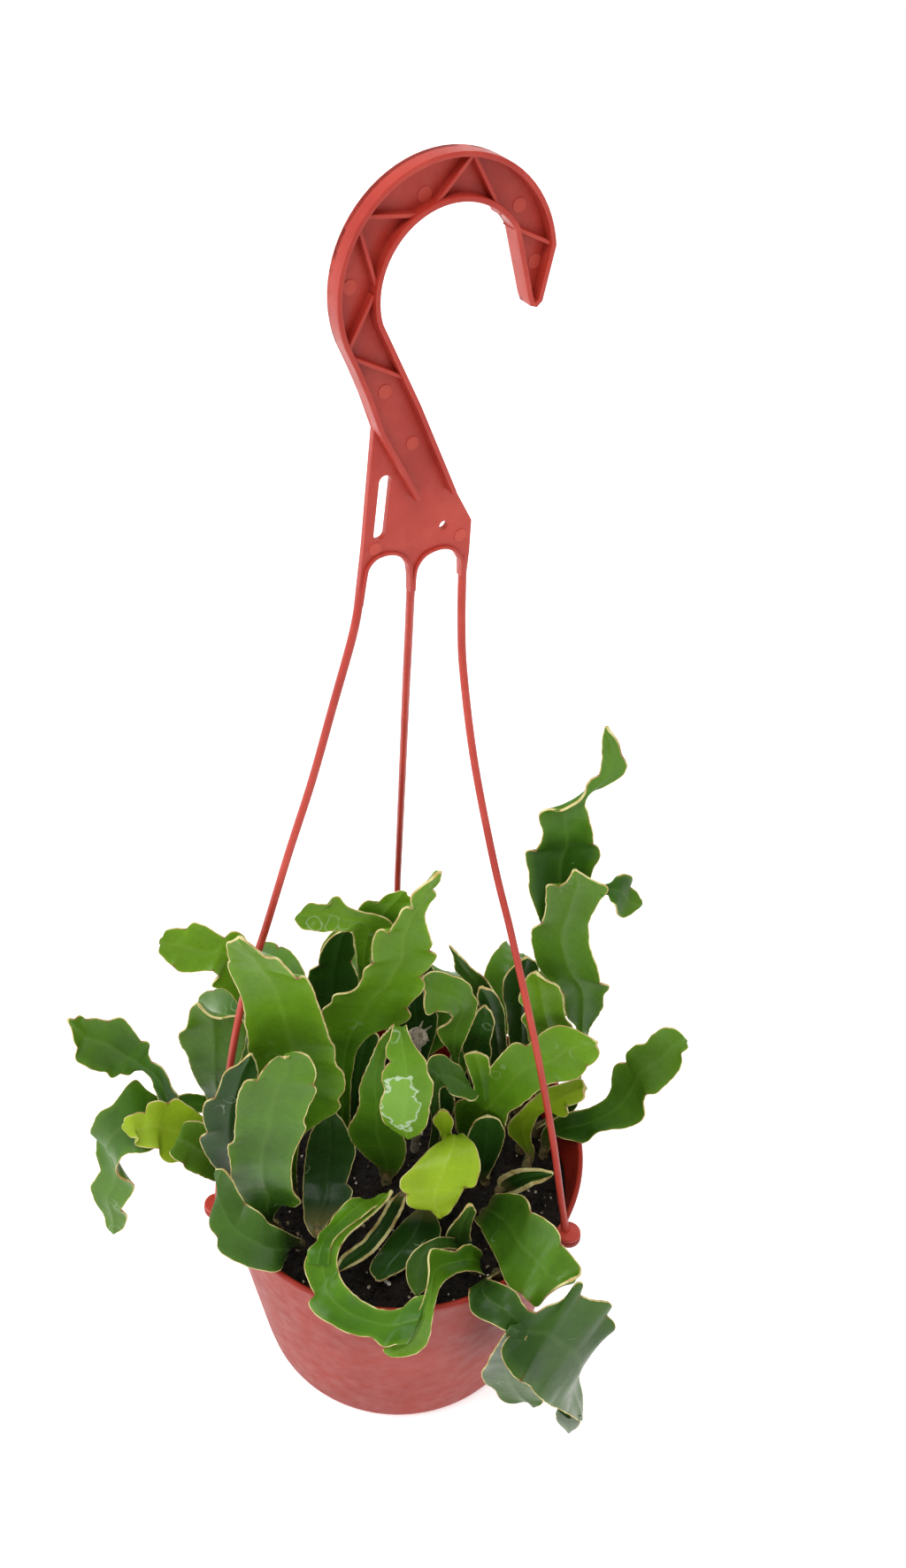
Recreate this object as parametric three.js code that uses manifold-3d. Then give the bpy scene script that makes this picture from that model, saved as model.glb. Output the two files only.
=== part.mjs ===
import * as THREE from "three";
import { mergeVertices } from "three/addons/utils/BufferGeometryUtils.js";
import Module from "manifold-3d";

// A curly-stemmed leaf cactus in a red plastic nursery pot with a one-piece three-armed
// plastic hanger. Millimetres, +Z up, origin at the centre of the pot's underside.
// The pot's front faces -Y.

const wasm = await Module();
wasm.setup();

// Driving dimensions of the pot
const POT_HEIGHT = 115;
const RIM_RADIUS = 76;
const BASE_RADIUS = 60.6;
const WALL = 2.2;
const FLOOR = 3.5;
const BASE_CORNER = 8;
const POT_SIDES = 48;
const NOTCH_WIDTH = 8;
const NOTCH_HEIGHT = 2;
const NOTCH_ANGLES = [-135, -105, -45, -15, 45, 75, 135, 165];

// Three ears under the rim take the pegs of the hanger
const EAR_ANGLES = [201.5, 327.5, 90];
const EAR_WIDTH = 10;
const EAR_THICK = 2.4;
const PEG_RADIUS = 1.5;
const PEG_LENGTH = 8;
const PEG_CIRCLE = 79;
const BUTTON_RADIUS = 4.8;
const BUTTON_THICK = 1.5;
const FIT_GAP = 0.3;

// Soil, and the round woody necks that stand in it
const SOIL_TOP = 92;
const SOIL_DIP = 1.5;
const SOIL_SIDES = POT_SIDES / 2;
const NECK_RADIUS = 2.6;
const NECK_GAP = 0.4;
const NECK_DEPTH = 10;
const NECK_RISE = 4;
const NECK_SIDES = 6;

// Hanger: an upright moulding turned a little to the left, with its hollow side in front
const MOULDING_TURN = 30;
const MOULDING_X = 2.5;
const MOULDING_DEPTH = 6;
const WEB_THICK = 2.2;
const FLANGE_WIDTH = 1.9;
const RIB_WIDTH = 1.3;
const RIB_DROP = 1.2;
const HOOK_OUTER = { u: 8.5, z: 481.8, r: 33.3 };
const HOOK_INNER = { u: 9.7, z: 480.5, r: 21.9 };
const SLOT_TOP = { u: -9, z: 426.9, r: 1.9 };
const SLOT_BOTTOM = { u: -10.9, z: 410.5, r: 1.9 };
const PLATE_HOLE = { u: 10.6, z: 407.4, r: 1.4 };
const ARM_RADIUS = 1.35;
const ARM_SIDES = 8;
const ARM_STEPS = 22;

// Blades of the plant: thickest along the midrib
const MIDRIB_THICK = 2.2;
const MARGIN_THICK = 1.1;
const ROWS_PER_LOBE = 3;
const LEAST_HALF_WIDTH = 0.8;
const USUAL_CUP = 0.15;
const MARGIN_WAVE = 0.1;
const WAVE_PER_STEP = 1.25;
const ROOT_HALF_WIDTH = 2;
const ROOT_START = 94.5;
const WAVE_PER_LOBE = 0.37;
const STEADINESS = 0.35;

// Hand-placed points of the broken, dried-up stem in the middle
const DRY_STUB = [[6, 14, 93], [7, 13, 120], [6, 9, 150], [6, 5, 178]];
const DRY_STUB_RADIUS = 2;
const DRY_TIP_SIZE = [5, 3.5, 6];

// The side that the broad faces of the blades mostly look to
const FRONT = new THREE.Vector3(-0.03, -0.76, 0.65).normalize();

// The camera of the photograph: its place and directions in millimetres, and its lens and
// picture middle in pixels. The rim's width and height in the photograph set them.
const CAMERA = new THREE.Vector3(0, -380.1, 635.92);
const CAMERA_AHEAD = new THREE.Vector3(0.0329, 0.7614, -0.6474);
const CAMERA_RIGHT = new THREE.Vector3(0.9994, -0.0201, 0.0271);
const CAMERA_UP = new THREE.Vector3(-0.0076, 0.6479, 0.7617);
const LENS_PIXELS = 1700;
const PICTURE_MIDDLE = { x: 512, y: 886.5 };

const POT_RED = { color: 0xb4553f, roughness: 0.45 };
const HANGER_RED = { color: 0xbb3a2c, roughness: 0.35 };
const SOIL_BROWN = { color: 0x15110e, roughness: 0.95 };
const DRY_GREY = { color: 0x9a8f80, roughness: 0.9 };
const BRIGHT_GREEN = 0x86a832;
const MID_GREEN = 0x5b8236;
const DARK_GREEN = 0x2f5426;
const BLADE_ROUGHNESS = 0.35;

const radians = THREE.MathUtils.degToRad;

function material({ color, roughness }) {
  return new THREE.MeshStandardMaterial({ color, roughness, metalness: 0 });
}

function piece(name, geometry, look) {
  const mesh = new THREE.Mesh(geometry, material(look));
  mesh.name = name;
  return mesh;
}

// Closed solids, ready to be joined or cut
function solidOf(geometry) {
  const plain = geometry.clone();
  plain.deleteAttribute("normal");
  plain.deleteAttribute("uv");
  const merged = mergeVertices(plain, 1e-4);
  return new wasm.Manifold(new wasm.Mesh({
    numProp: 3,
    vertProperties: new Float32Array(merged.attributes.position.array),
    triVerts: new Uint32Array(merged.index.array),
  }));
}

function geometryOf(solid) {
  const mesh = solid.getMesh();
  const geometry = new THREE.BufferGeometry();
  geometry.setAttribute("position", new THREE.BufferAttribute(mesh.vertProperties, 3));
  geometry.setIndex(new THREE.BufferAttribute(mesh.triVerts, 1));
  geometry.computeVertexNormals();
  return geometry;
}

function joined(solids) {
  return solids.reduce((whole, next) => whole.add(next));
}

function upright(radius, bottom, top, sides, x = 0, y = 0) {
  const cylinder = new THREE.CylinderGeometry(radius, radius, top - bottom, sides);
  cylinder.rotateX(Math.PI / 2);
  return cylinder.translate(x, y, (top + bottom) / 2);
}

// Pot

function wallRadius(z) {
  return BASE_RADIUS + (RIM_RADIUS - BASE_RADIUS) * (z / POT_HEIGHT);
}

function turned(profile, sides) {
  return new THREE.LatheGeometry(profile, sides).rotateX(Math.PI / 2);
}

function potProfile() {
  const foot = BASE_RADIUS - BASE_CORNER;
  const profile = [new THREE.Vector2(0, 0)];
  for (let step = 0; step <= 4; step += 1) {
    const angle = radians(-90 + 22.5 * step);
    profile.push(new THREE.Vector2(
      foot + BASE_CORNER * Math.cos(angle) + 0.8 * (step / 4),
      BASE_CORNER + BASE_CORNER * Math.sin(angle),
    ));
  }
  profile.push(
    new THREE.Vector2(RIM_RADIUS, POT_HEIGHT),
    new THREE.Vector2(RIM_RADIUS - WALL, POT_HEIGHT),
    new THREE.Vector2(wallRadius(BASE_CORNER) - WALL, BASE_CORNER),
    new THREE.Vector2(foot, FLOOR),
    new THREE.Vector2(0, FLOOR),
  );
  return profile;
}

function drainNotch(angle) {
  const box = new THREE.BoxGeometry(2 * BASE_CORNER, NOTCH_WIDTH, 2 * NOTCH_HEIGHT);
  box.translate(BASE_RADIUS + BASE_CORNER / 2, 0, 0);
  return solidOf(box.rotateZ(radians(angle)));
}

function ear(angle) {
  const inner = RIM_RADIUS - WALL / 2;
  const tab = new THREE.BoxGeometry(PEG_CIRCLE - inner, EAR_WIDTH, EAR_THICK);
  tab.translate((PEG_CIRCLE + inner) / 2, 0, POT_HEIGHT - EAR_THICK / 2);
  const nose = upright(EAR_WIDTH / 2, POT_HEIGHT - EAR_THICK, POT_HEIGHT, 16, PEG_CIRCLE);
  const whole = solidOf(tab).add(solidOf(nose));
  const below = POT_HEIGHT - 2 * EAR_THICK;
  const hole = upright(PEG_RADIUS + FIT_GAP, below, POT_HEIGHT + 1, 12, PEG_CIRCLE);
  return whole.subtract(solidOf(hole)).rotate([0, 0, angle]);
}

function pot() {
  let body = solidOf(turned(potProfile(), POT_SIDES));
  body = joined([body, ...EAR_ANGLES.map(ear)]);
  for (const angle of NOTCH_ANGLES) {
    body = body.subtract(drainNotch(angle));
  }
  return piece("pot", geometryOf(body), POT_RED);
}

// Soil

function soil(roots) {
  const clearance = WALL + FIT_GAP;
  const floor = FLOOR + FIT_GAP;
  const edge = wallRadius(SOIL_TOP - SOIL_DIP) - clearance;
  let body = solidOf(turned([
    new THREE.Vector2(0, floor),
    new THREE.Vector2(BASE_RADIUS - BASE_CORNER - FIT_GAP, floor),
    new THREE.Vector2(wallRadius(BASE_CORNER) - clearance, BASE_CORNER),
    new THREE.Vector2(edge, SOIL_TOP - SOIL_DIP),
    new THREE.Vector2(edge - 5, SOIL_TOP - SOIL_DIP / 3),
    new THREE.Vector2(edge - 18, SOIL_TOP),
    new THREE.Vector2(0, SOIL_TOP),
  ], SOIL_SIDES));
  for (const [x, y] of roots) {
    const radius = NECK_RADIUS + NECK_GAP;
    const bottom = SOIL_TOP - NECK_DEPTH - NECK_GAP;
    body = body.subtract(solidOf(upright(radius, bottom, SOIL_TOP + 5, NECK_SIDES, x, y)));
  }
  return piece("soil", geometryOf(body), SOIL_BROWN);
}

// Hanger

function arcPoints(arc, from, to, steps) {
  const points = [];
  for (let step = 0; step <= steps; step += 1) {
    const angle = radians(THREE.MathUtils.lerp(from, to, step / steps));
    points.push([arc.u + arc.r * Math.cos(angle), arc.z + arc.r * Math.sin(angle)]);
  }
  return points;
}

// Outline of the moulding in its own upright plane: up the left side, round the hook and its
// tip, back inside the hook, down the right side and along the foot with its two arches
const LEFT_SIDE = [[-16.3, 406.6], [-12.6, 443.8], [-16.4, 455.1], [-19.7, 463.4]];
const RIGHT_SIDE = [[-7.7, 466.7], [-4.1, 458.9], [0.2, 449.6], [14.2, 418.5], [20.3, 406.6]];
const HOOK_TIP = [[38.1, 471.6], [36.3, 470.1], [34.3, 470.8], [33.4, 473]];
const HOLLOW_TIP = [[38.7, 474.5], [33, 474.5]];
const FOOT = [
  [20, 396.3], [19.3, 388], [16.8, 388], [16.6, 393.4], [14.6, 397.1], [11.8, 399.2], [8.4, 399.8],
  [4.4, 398.9], [2, 396.2], [1.2, 392.8], [1.3, 388], [-1.2, 388], [-1.1, 393.5], [-1.6, 397.3],
  [-3.7, 400.7], [-7.3, 402.8], [-11.7, 402.8], [-14.3, 400.8], [-15.3, 397.8], [-16.2, 388],
  [-18.7, 388],
];
const HOLLOW_FOOT = [[17.8, 400.5], [9.8, 401.1], [-0.5, 400.5], [-7.4, 403.7], [-17.8, 401.5]];

// The plate below the neck is thin: its front is cut back outside the neck's two flanges
const PLATE_FACE = [
  [-16, 452.5], [-0.6, 421.5], [1.8, 419.2], [13.4, 417.8],
  [24, 410], [24, 380], [-30, 380], [-30, 420],
];

function mouldingOutline(tip, foot) {
  return [
    ...LEFT_SIDE,
    ...arcPoints(HOOK_OUTER, 200, 8, 15),
    ...tip,
    ...arcPoints(HOOK_INNER, 33, 195, 12),
    ...RIGHT_SIDE,
    ...foot,
  ];
}

function inset(outline, distance) {
  const count = outline.length;
  const points = outline.map(([u, z]) => new THREE.Vector2(u, z));
  return points.map((point, index) => {
    const before = points[(index + count - 1) % count];
    const after = points[(index + 1) % count];
    const first = point.clone().sub(before).normalize();
    const second = after.clone().sub(point).normalize();
    const inward = new THREE.Vector2(first.y + second.y, -first.x - second.x).normalize();
    const stretch = Math.max(0.6, inward.dot(new THREE.Vector2(second.y, -second.x)));
    return [point.x + inward.x * distance / stretch, point.y + inward.y * distance / stretch];
  });
}

// A flat shape pushed out from front to back, standing upright in the plane y = 0
function slab(outline, front, back) {
  const shape = new THREE.Shape(outline.map(([u, z]) => new THREE.Vector2(u, z)));
  const geometry = new THREE.ExtrudeGeometry(shape, { depth: back - front, bevelEnabled: false });
  geometry.rotateX(Math.PI / 2);
  return solidOf(geometry.translate(0, back, 0));
}

function circlePoints(circle, sides) {
  return arcPoints(circle, 0, 360 * (1 - 1 / sides), sides - 1);
}

function disc(circle, sides, front, back) {
  return slab(circlePoints(circle, sides), front, back);
}

function rib([u1, z1], [u2, z2]) {
  const length = Math.hypot(u2 - u1, z2 - z1);
  const box = new THREE.BoxGeometry(length, MOULDING_DEPTH - RIB_DROP, RIB_WIDTH);
  box.translate(0, RIB_DROP / 2, 0).rotateY(-Math.atan2(z2 - z1, u2 - u1));
  return solidOf(box.translate((u1 + u2) / 2, 0, (z1 + z2) / 2));
}

// Zigzag ribs stiffen the hollow front of the hook, the neck and the plate
const RIBS = [
  [[27.8, 493], [41.2, 486.2]], [[24.2, 497], [15, 513.4]], [[3, 501.4], [15, 513.4]],
  [[-0.4, 500.6], [-17.2, 503]], [[-13, 485], [-18.6, 501.6]], [[-13.6, 482.6], [-23, 468.4]],
  [[-22.4, 468], [-4, 457.8]], [[-14.6, 449.4], [1.2, 420]],
];

function slotHole() {
  const front = -MOULDING_DEPTH;
  const back = MOULDING_DEPTH;
  const top = arcPoints(SLOT_TOP, -6, 174, 5);
  const bottom = arcPoints(SLOT_BOTTOM, 174, 354, 5);
  return slab([...top, ...bottom], front, back);
}

function moulding() {
  const front = -MOULDING_DEPTH / 2;
  const back = MOULDING_DEPTH / 2;
  const whole = slab(mouldingOutline(HOOK_TIP, FOOT), front, back);
  const inside = inset(mouldingOutline(HOLLOW_TIP, HOLLOW_FOOT), FLANGE_WIDTH);
  const hollow = slab(inside, front - 1, back - WEB_THICK);
  const plateFront = slab(PLATE_FACE, front - 1, back - WEB_THICK);
  const ribs = joined(RIBS.map(([from, to]) => rib(from, to))).intersect(whole);
  return whole
    .subtract(hollow)
    .subtract(plateFront)
    .add(ribs)
    .subtract(slotHole())
    .subtract(disc(PLATE_HOLE, 10, front - 1, back + 1))
    .rotate([0, 0, MOULDING_TURN])
    .translate([MOULDING_X, 0, 0]);
}

// Hand-placed points of the three arms, from the moulding down to their buttons
const ARMS = [
  [[-13.2, -7.1, 391], [-15.6, -9.3, 378], [-22, -11.3, 353], [-29.2, -13.6, 325], [-37.7, -16.3, 296],
    [-46.9, -19.2, 263], [-56.2, -22.1, 231], [-63, -24.3, 196], [-69.5, -27.2, 150], [-72.6, -28.6, 116]],
  [[17.3, 10.5, 391], [17.7, 9.4, 370], [18.9, 7.4, 352], [23.5, 2.7, 319], [31.6, -5.5, 280],
    [38.5, -12.5, 253], [48.9, -23.1, 208], [57.5, -32, 165], [62.9, -38.6, 132], [65.6, -41.8, 116]],
  [[1.8, 1.5, 394], [1.6, 3, 384], [1.3, 9, 368], [0.6, 18, 339], [-0.5, 38, 283],
    [-1.6, 57, 230], [-2.2, 66, 195], [-1.6, 73, 155], [0, 78, 116]],
];

function circleShape(radius, sides) {
  const points = circlePoints({ u: 0, z: 0, r: radius }, sides);
  return new THREE.Shape(points.map(([u, z]) => new THREE.Vector2(u, z)));
}

function arm(points) {
  const path = new THREE.CatmullRomCurve3(points.map((point) => new THREE.Vector3(...point)));
  const shape = circleShape(ARM_RADIUS, ARM_SIDES);
  return solidOf(new THREE.ExtrudeGeometry(shape, { steps: ARM_STEPS, extrudePath: path }));
}

function peg(angle) {
  const bottom = POT_HEIGHT + FIT_GAP;
  const button = upright(BUTTON_RADIUS, bottom, bottom + BUTTON_THICK, 16, PEG_CIRCLE - 0.8);
  const pin = upright(PEG_RADIUS, bottom - PEG_LENGTH, bottom + 0.5, 8, PEG_CIRCLE);
  return solidOf(button).add(solidOf(pin)).rotate([0, 0, angle]);
}

function hanger() {
  const whole = joined([moulding(), ...ARMS.map(arm), ...EAR_ANGLES.map(peg)]);
  return piece("hanger", geometryOf(whole), HANGER_RED);
}

// Blades

// Scalloped margin: 1 at the crown of a lobe, less in the cleft between two lobes
function scallop(place, depth) {
  return 1 - depth * (1 - Math.sqrt(Math.abs(Math.sin(Math.PI * place))));
}

// Steady side direction along the spine, with no flip where the blade folds over
function sideDirection(tangent, previous) {
  const side = tangent.clone().cross(FRONT);
  if (!previous) {
    return side.normalize();
  }
  if (side.dot(previous) < 0) {
    side.negate();
  }
  const kept = previous.clone().addScaledVector(tangent, -previous.dot(tangent)).normalize();
  return side.addScaledVector(kept, STEADINESS).normalize();
}

// One cross-section: left margin, midrib and right margin, on the front and on the back face
function bladeRow(centre, side, normal, halfWidth, edges) {
  const left = centre.clone().addScaledVector(side, -halfWidth * edges.left);
  left.addScaledVector(normal, edges.leftLift);
  const right = centre.clone().addScaledVector(side, halfWidth * edges.right);
  right.addScaledVector(normal, edges.rightLift);
  const face = [
    [left, MARGIN_THICK / 2],
    [centre, MIDRIB_THICK / 2],
    [right, MARGIN_THICK / 2],
  ];
  const front = face.map(([point, half]) => point.clone().addScaledVector(normal, half));
  const back = face.map(([point, half]) => point.clone().addScaledVector(normal, -half));
  return [...front, ...back.reverse()];
}

function spineRows({ spine, lobes, notch, cup = USUAL_CUP }) {
  const places = spine.map(([x, y, z]) => new THREE.Vector3(x, y, z));
  const forms = spine.map(([, , , width, turn = 0]) => new THREE.Vector3(width, turn / 10, 0));
  const path = new THREE.CatmullRomCurve3(places, false, "centripetal");
  const shape = new THREE.CatmullRomCurve3(forms);
  const count = ROWS_PER_LOBE * lobes;
  const rows = [];
  let side = null;
  for (let row = 0; row <= count; row += 1) {
    const t = row / count;
    const centre = path.getPoint(t);
    const tangent = path.getTangent(t);
    side = sideDirection(tangent, side);
    const { x: halfWidth, y: turn } = shape.getPoint(t);
    const across = side.clone().applyAxisAngle(tangent, radians(10 * turn));
    const normal = across.clone().cross(tangent).normalize();
    const swell = Math.max(halfWidth, LEAST_HALF_WIDTH);
    const wave = MARGIN_WAVE * swell * Math.sin(2 * Math.PI * WAVE_PER_LOBE * lobes * t);
    rows.push(bladeRow(centre, across, normal, swell, {
      left: scallop(lobes * t, notch),
      right: scallop(lobes * t + 1 / ROWS_PER_LOBE, notch),
      leftLift: cup * swell + wave,
      rightLift: cup * swell - wave,
    }));
  }
  return rows;
}

// The line of sight from the camera through a place in the photograph
function sightLine(x, y) {
  const line = CAMERA_AHEAD.clone().multiplyScalar(LENS_PIXELS);
  line.addScaledVector(CAMERA_RIGHT, x - PICTURE_MIDDLE.x);
  return line.addScaledVector(CAMERA_UP, PICTURE_MIDDLE.y - y).normalize();
}

// Where that line meets a plane facing the front, pushed away from the viewer by `push`
function seenOnFace(x, y, middle, push) {
  const line = sightLine(x, y);
  const reach = middle.clone().sub(CAMERA).dot(FRONT) / line.dot(FRONT);
  return CAMERA.clone().addScaledVector(line, reach + push);
}

function evenSteps(values, t) {
  const place = t * (values.length - 1);
  const before = Math.min(Math.floor(place), values.length - 2);
  return THREE.MathUtils.lerp(values[before], values[before + 1], place - before);
}

// The two margins of a blade in millimetres, from the places read off the photograph
function seenMargins({ depth, margins }) {
  const last = margins.length - 1;
  return margins.map(([leftX, leftY, rightX, rightY], step) => {
    const line = sightLine((leftX + rightX) / 2, (leftY + rightY) / 2);
    const reach = (evenSteps(depth, step / last) - CAMERA.y) / line.y;
    const middle = CAMERA.clone().addScaledVector(line, reach);
    const width = seenOnFace(leftX, leftY, middle, 0)
      .distanceTo(seenOnFace(rightX, rightY, middle, 0));
    const wave = MARGIN_WAVE / 2 * width * Math.sin(WAVE_PER_STEP * step);
    const left = seenOnFace(leftX, leftY, middle, -wave);
    const right = seenOnFace(rightX, rightY, middle, wave);
    return { left, right };
  });
}

function rootMargins([x, y], above) {
  const across = above.right.clone().sub(above.left).setZ(0).setLength(ROOT_HALF_WIDTH);
  const root = new THREE.Vector3(x, y, ROOT_START);
  return { left: root.clone().sub(across), right: root.clone().add(across) };
}

function seenRows(pad, root) {
  const pairs = seenMargins(pad);
  if (root) {
    pairs.unshift(rootMargins(root, pairs[0]));
  }
  const middles = pairs.map(({ left, right }) => left.clone().lerp(right, 0.5));
  return pairs.map(({ left, right }, step) => {
    const ahead = middles[Math.min(step + 1, middles.length - 1)].clone();
    ahead.sub(middles[Math.max(step - 1, 0)]);
    const across = right.clone().sub(left);
    const halfWidth = Math.max(across.length() / 2, LEAST_HALF_WIDTH);
    const normal = across.clone().cross(ahead).normalize();
    const lift = (pad.cup ?? USUAL_CUP) * halfWidth;
    const centre = middles[step].clone().addScaledVector(normal, -lift);
    const edges = { left: 1, right: 1, leftLift: lift, rightLift: lift };
    return bladeRow(centre, across.normalize(), normal, halfWidth, edges);
  });
}

// Both faces are split along the same diagonals, so that a waved blade keeps its thickness
function bladeGeometry(rows) {
  const positions = rows.flat().flatMap((point) => point.toArray());
  const index = [];
  const around = rows[0].length;
  const flipped = [3, 4];
  for (let row = 0; row + 1 < rows.length; row += 1) {
    for (let place = 0; place < around; place += 1) {
      const next = (place + 1) % around;
      const [a, b] = [row * around + place, row * around + next];
      const [c, d] = [b + around, a + around];
      if (flipped.includes(place)) {
        index.push(a, b, d, b, c, d);
      } else {
        index.push(a, b, c, a, c, d);
      }
    }
  }
  const end = (rows.length - 1) * around;
  const cap = [[0, 5, 4], [0, 4, 1], [1, 4, 3], [1, 3, 2]];
  for (const [a, b, c] of cap) {
    index.push(a, b, c);
    index.push(end + a, end + c, end + b);
  }
  const geometry = new THREE.BufferGeometry();
  geometry.setAttribute("position", new THREE.Float32BufferAttribute(positions, 3));
  geometry.setIndex(index);
  return geometry;
}

function neck(x, y) {
  const bottom = SOIL_TOP - NECK_DEPTH;
  return solidOf(upright(NECK_RADIUS, bottom, SOIL_TOP + NECK_RISE, NECK_SIDES, x, y));
}

function stem({ name, tone, root, pads }) {
  const [x, y] = root;
  const blades = pads.map((pad, place) => {
    const rows = pad.spine ? spineRows(pad) : seenRows(pad, place === 0 ? root : null);
    return solidOf(bladeGeometry(rows));
  });
  const look = { color: tone, roughness: BLADE_ROUGHNESS };
  return piece(name, geometryOf(joined([neck(x, y), ...blades])), look);
}

// A broken, dried-up stem among the green ones
function dryStub() {
  const path = new THREE.CatmullRomCurve3(DRY_STUB.map((point) => new THREE.Vector3(...point)));
  const shape = circleShape(DRY_STUB_RADIUS, 7);
  const stalk = solidOf(new THREE.ExtrudeGeometry(shape, { steps: 8, extrudePath: path }));
  const [x, y] = DRY_STUB[0];
  const tip = new THREE.IcosahedronGeometry(1, 1).scale(...DRY_TIP_SIZE);
  tip.translate(...DRY_STUB.at(-1));
  return piece("dry_stub", geometryOf(joined([neck(x, y), stalk, solidOf(tip)])), DRY_GREY);
}

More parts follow.
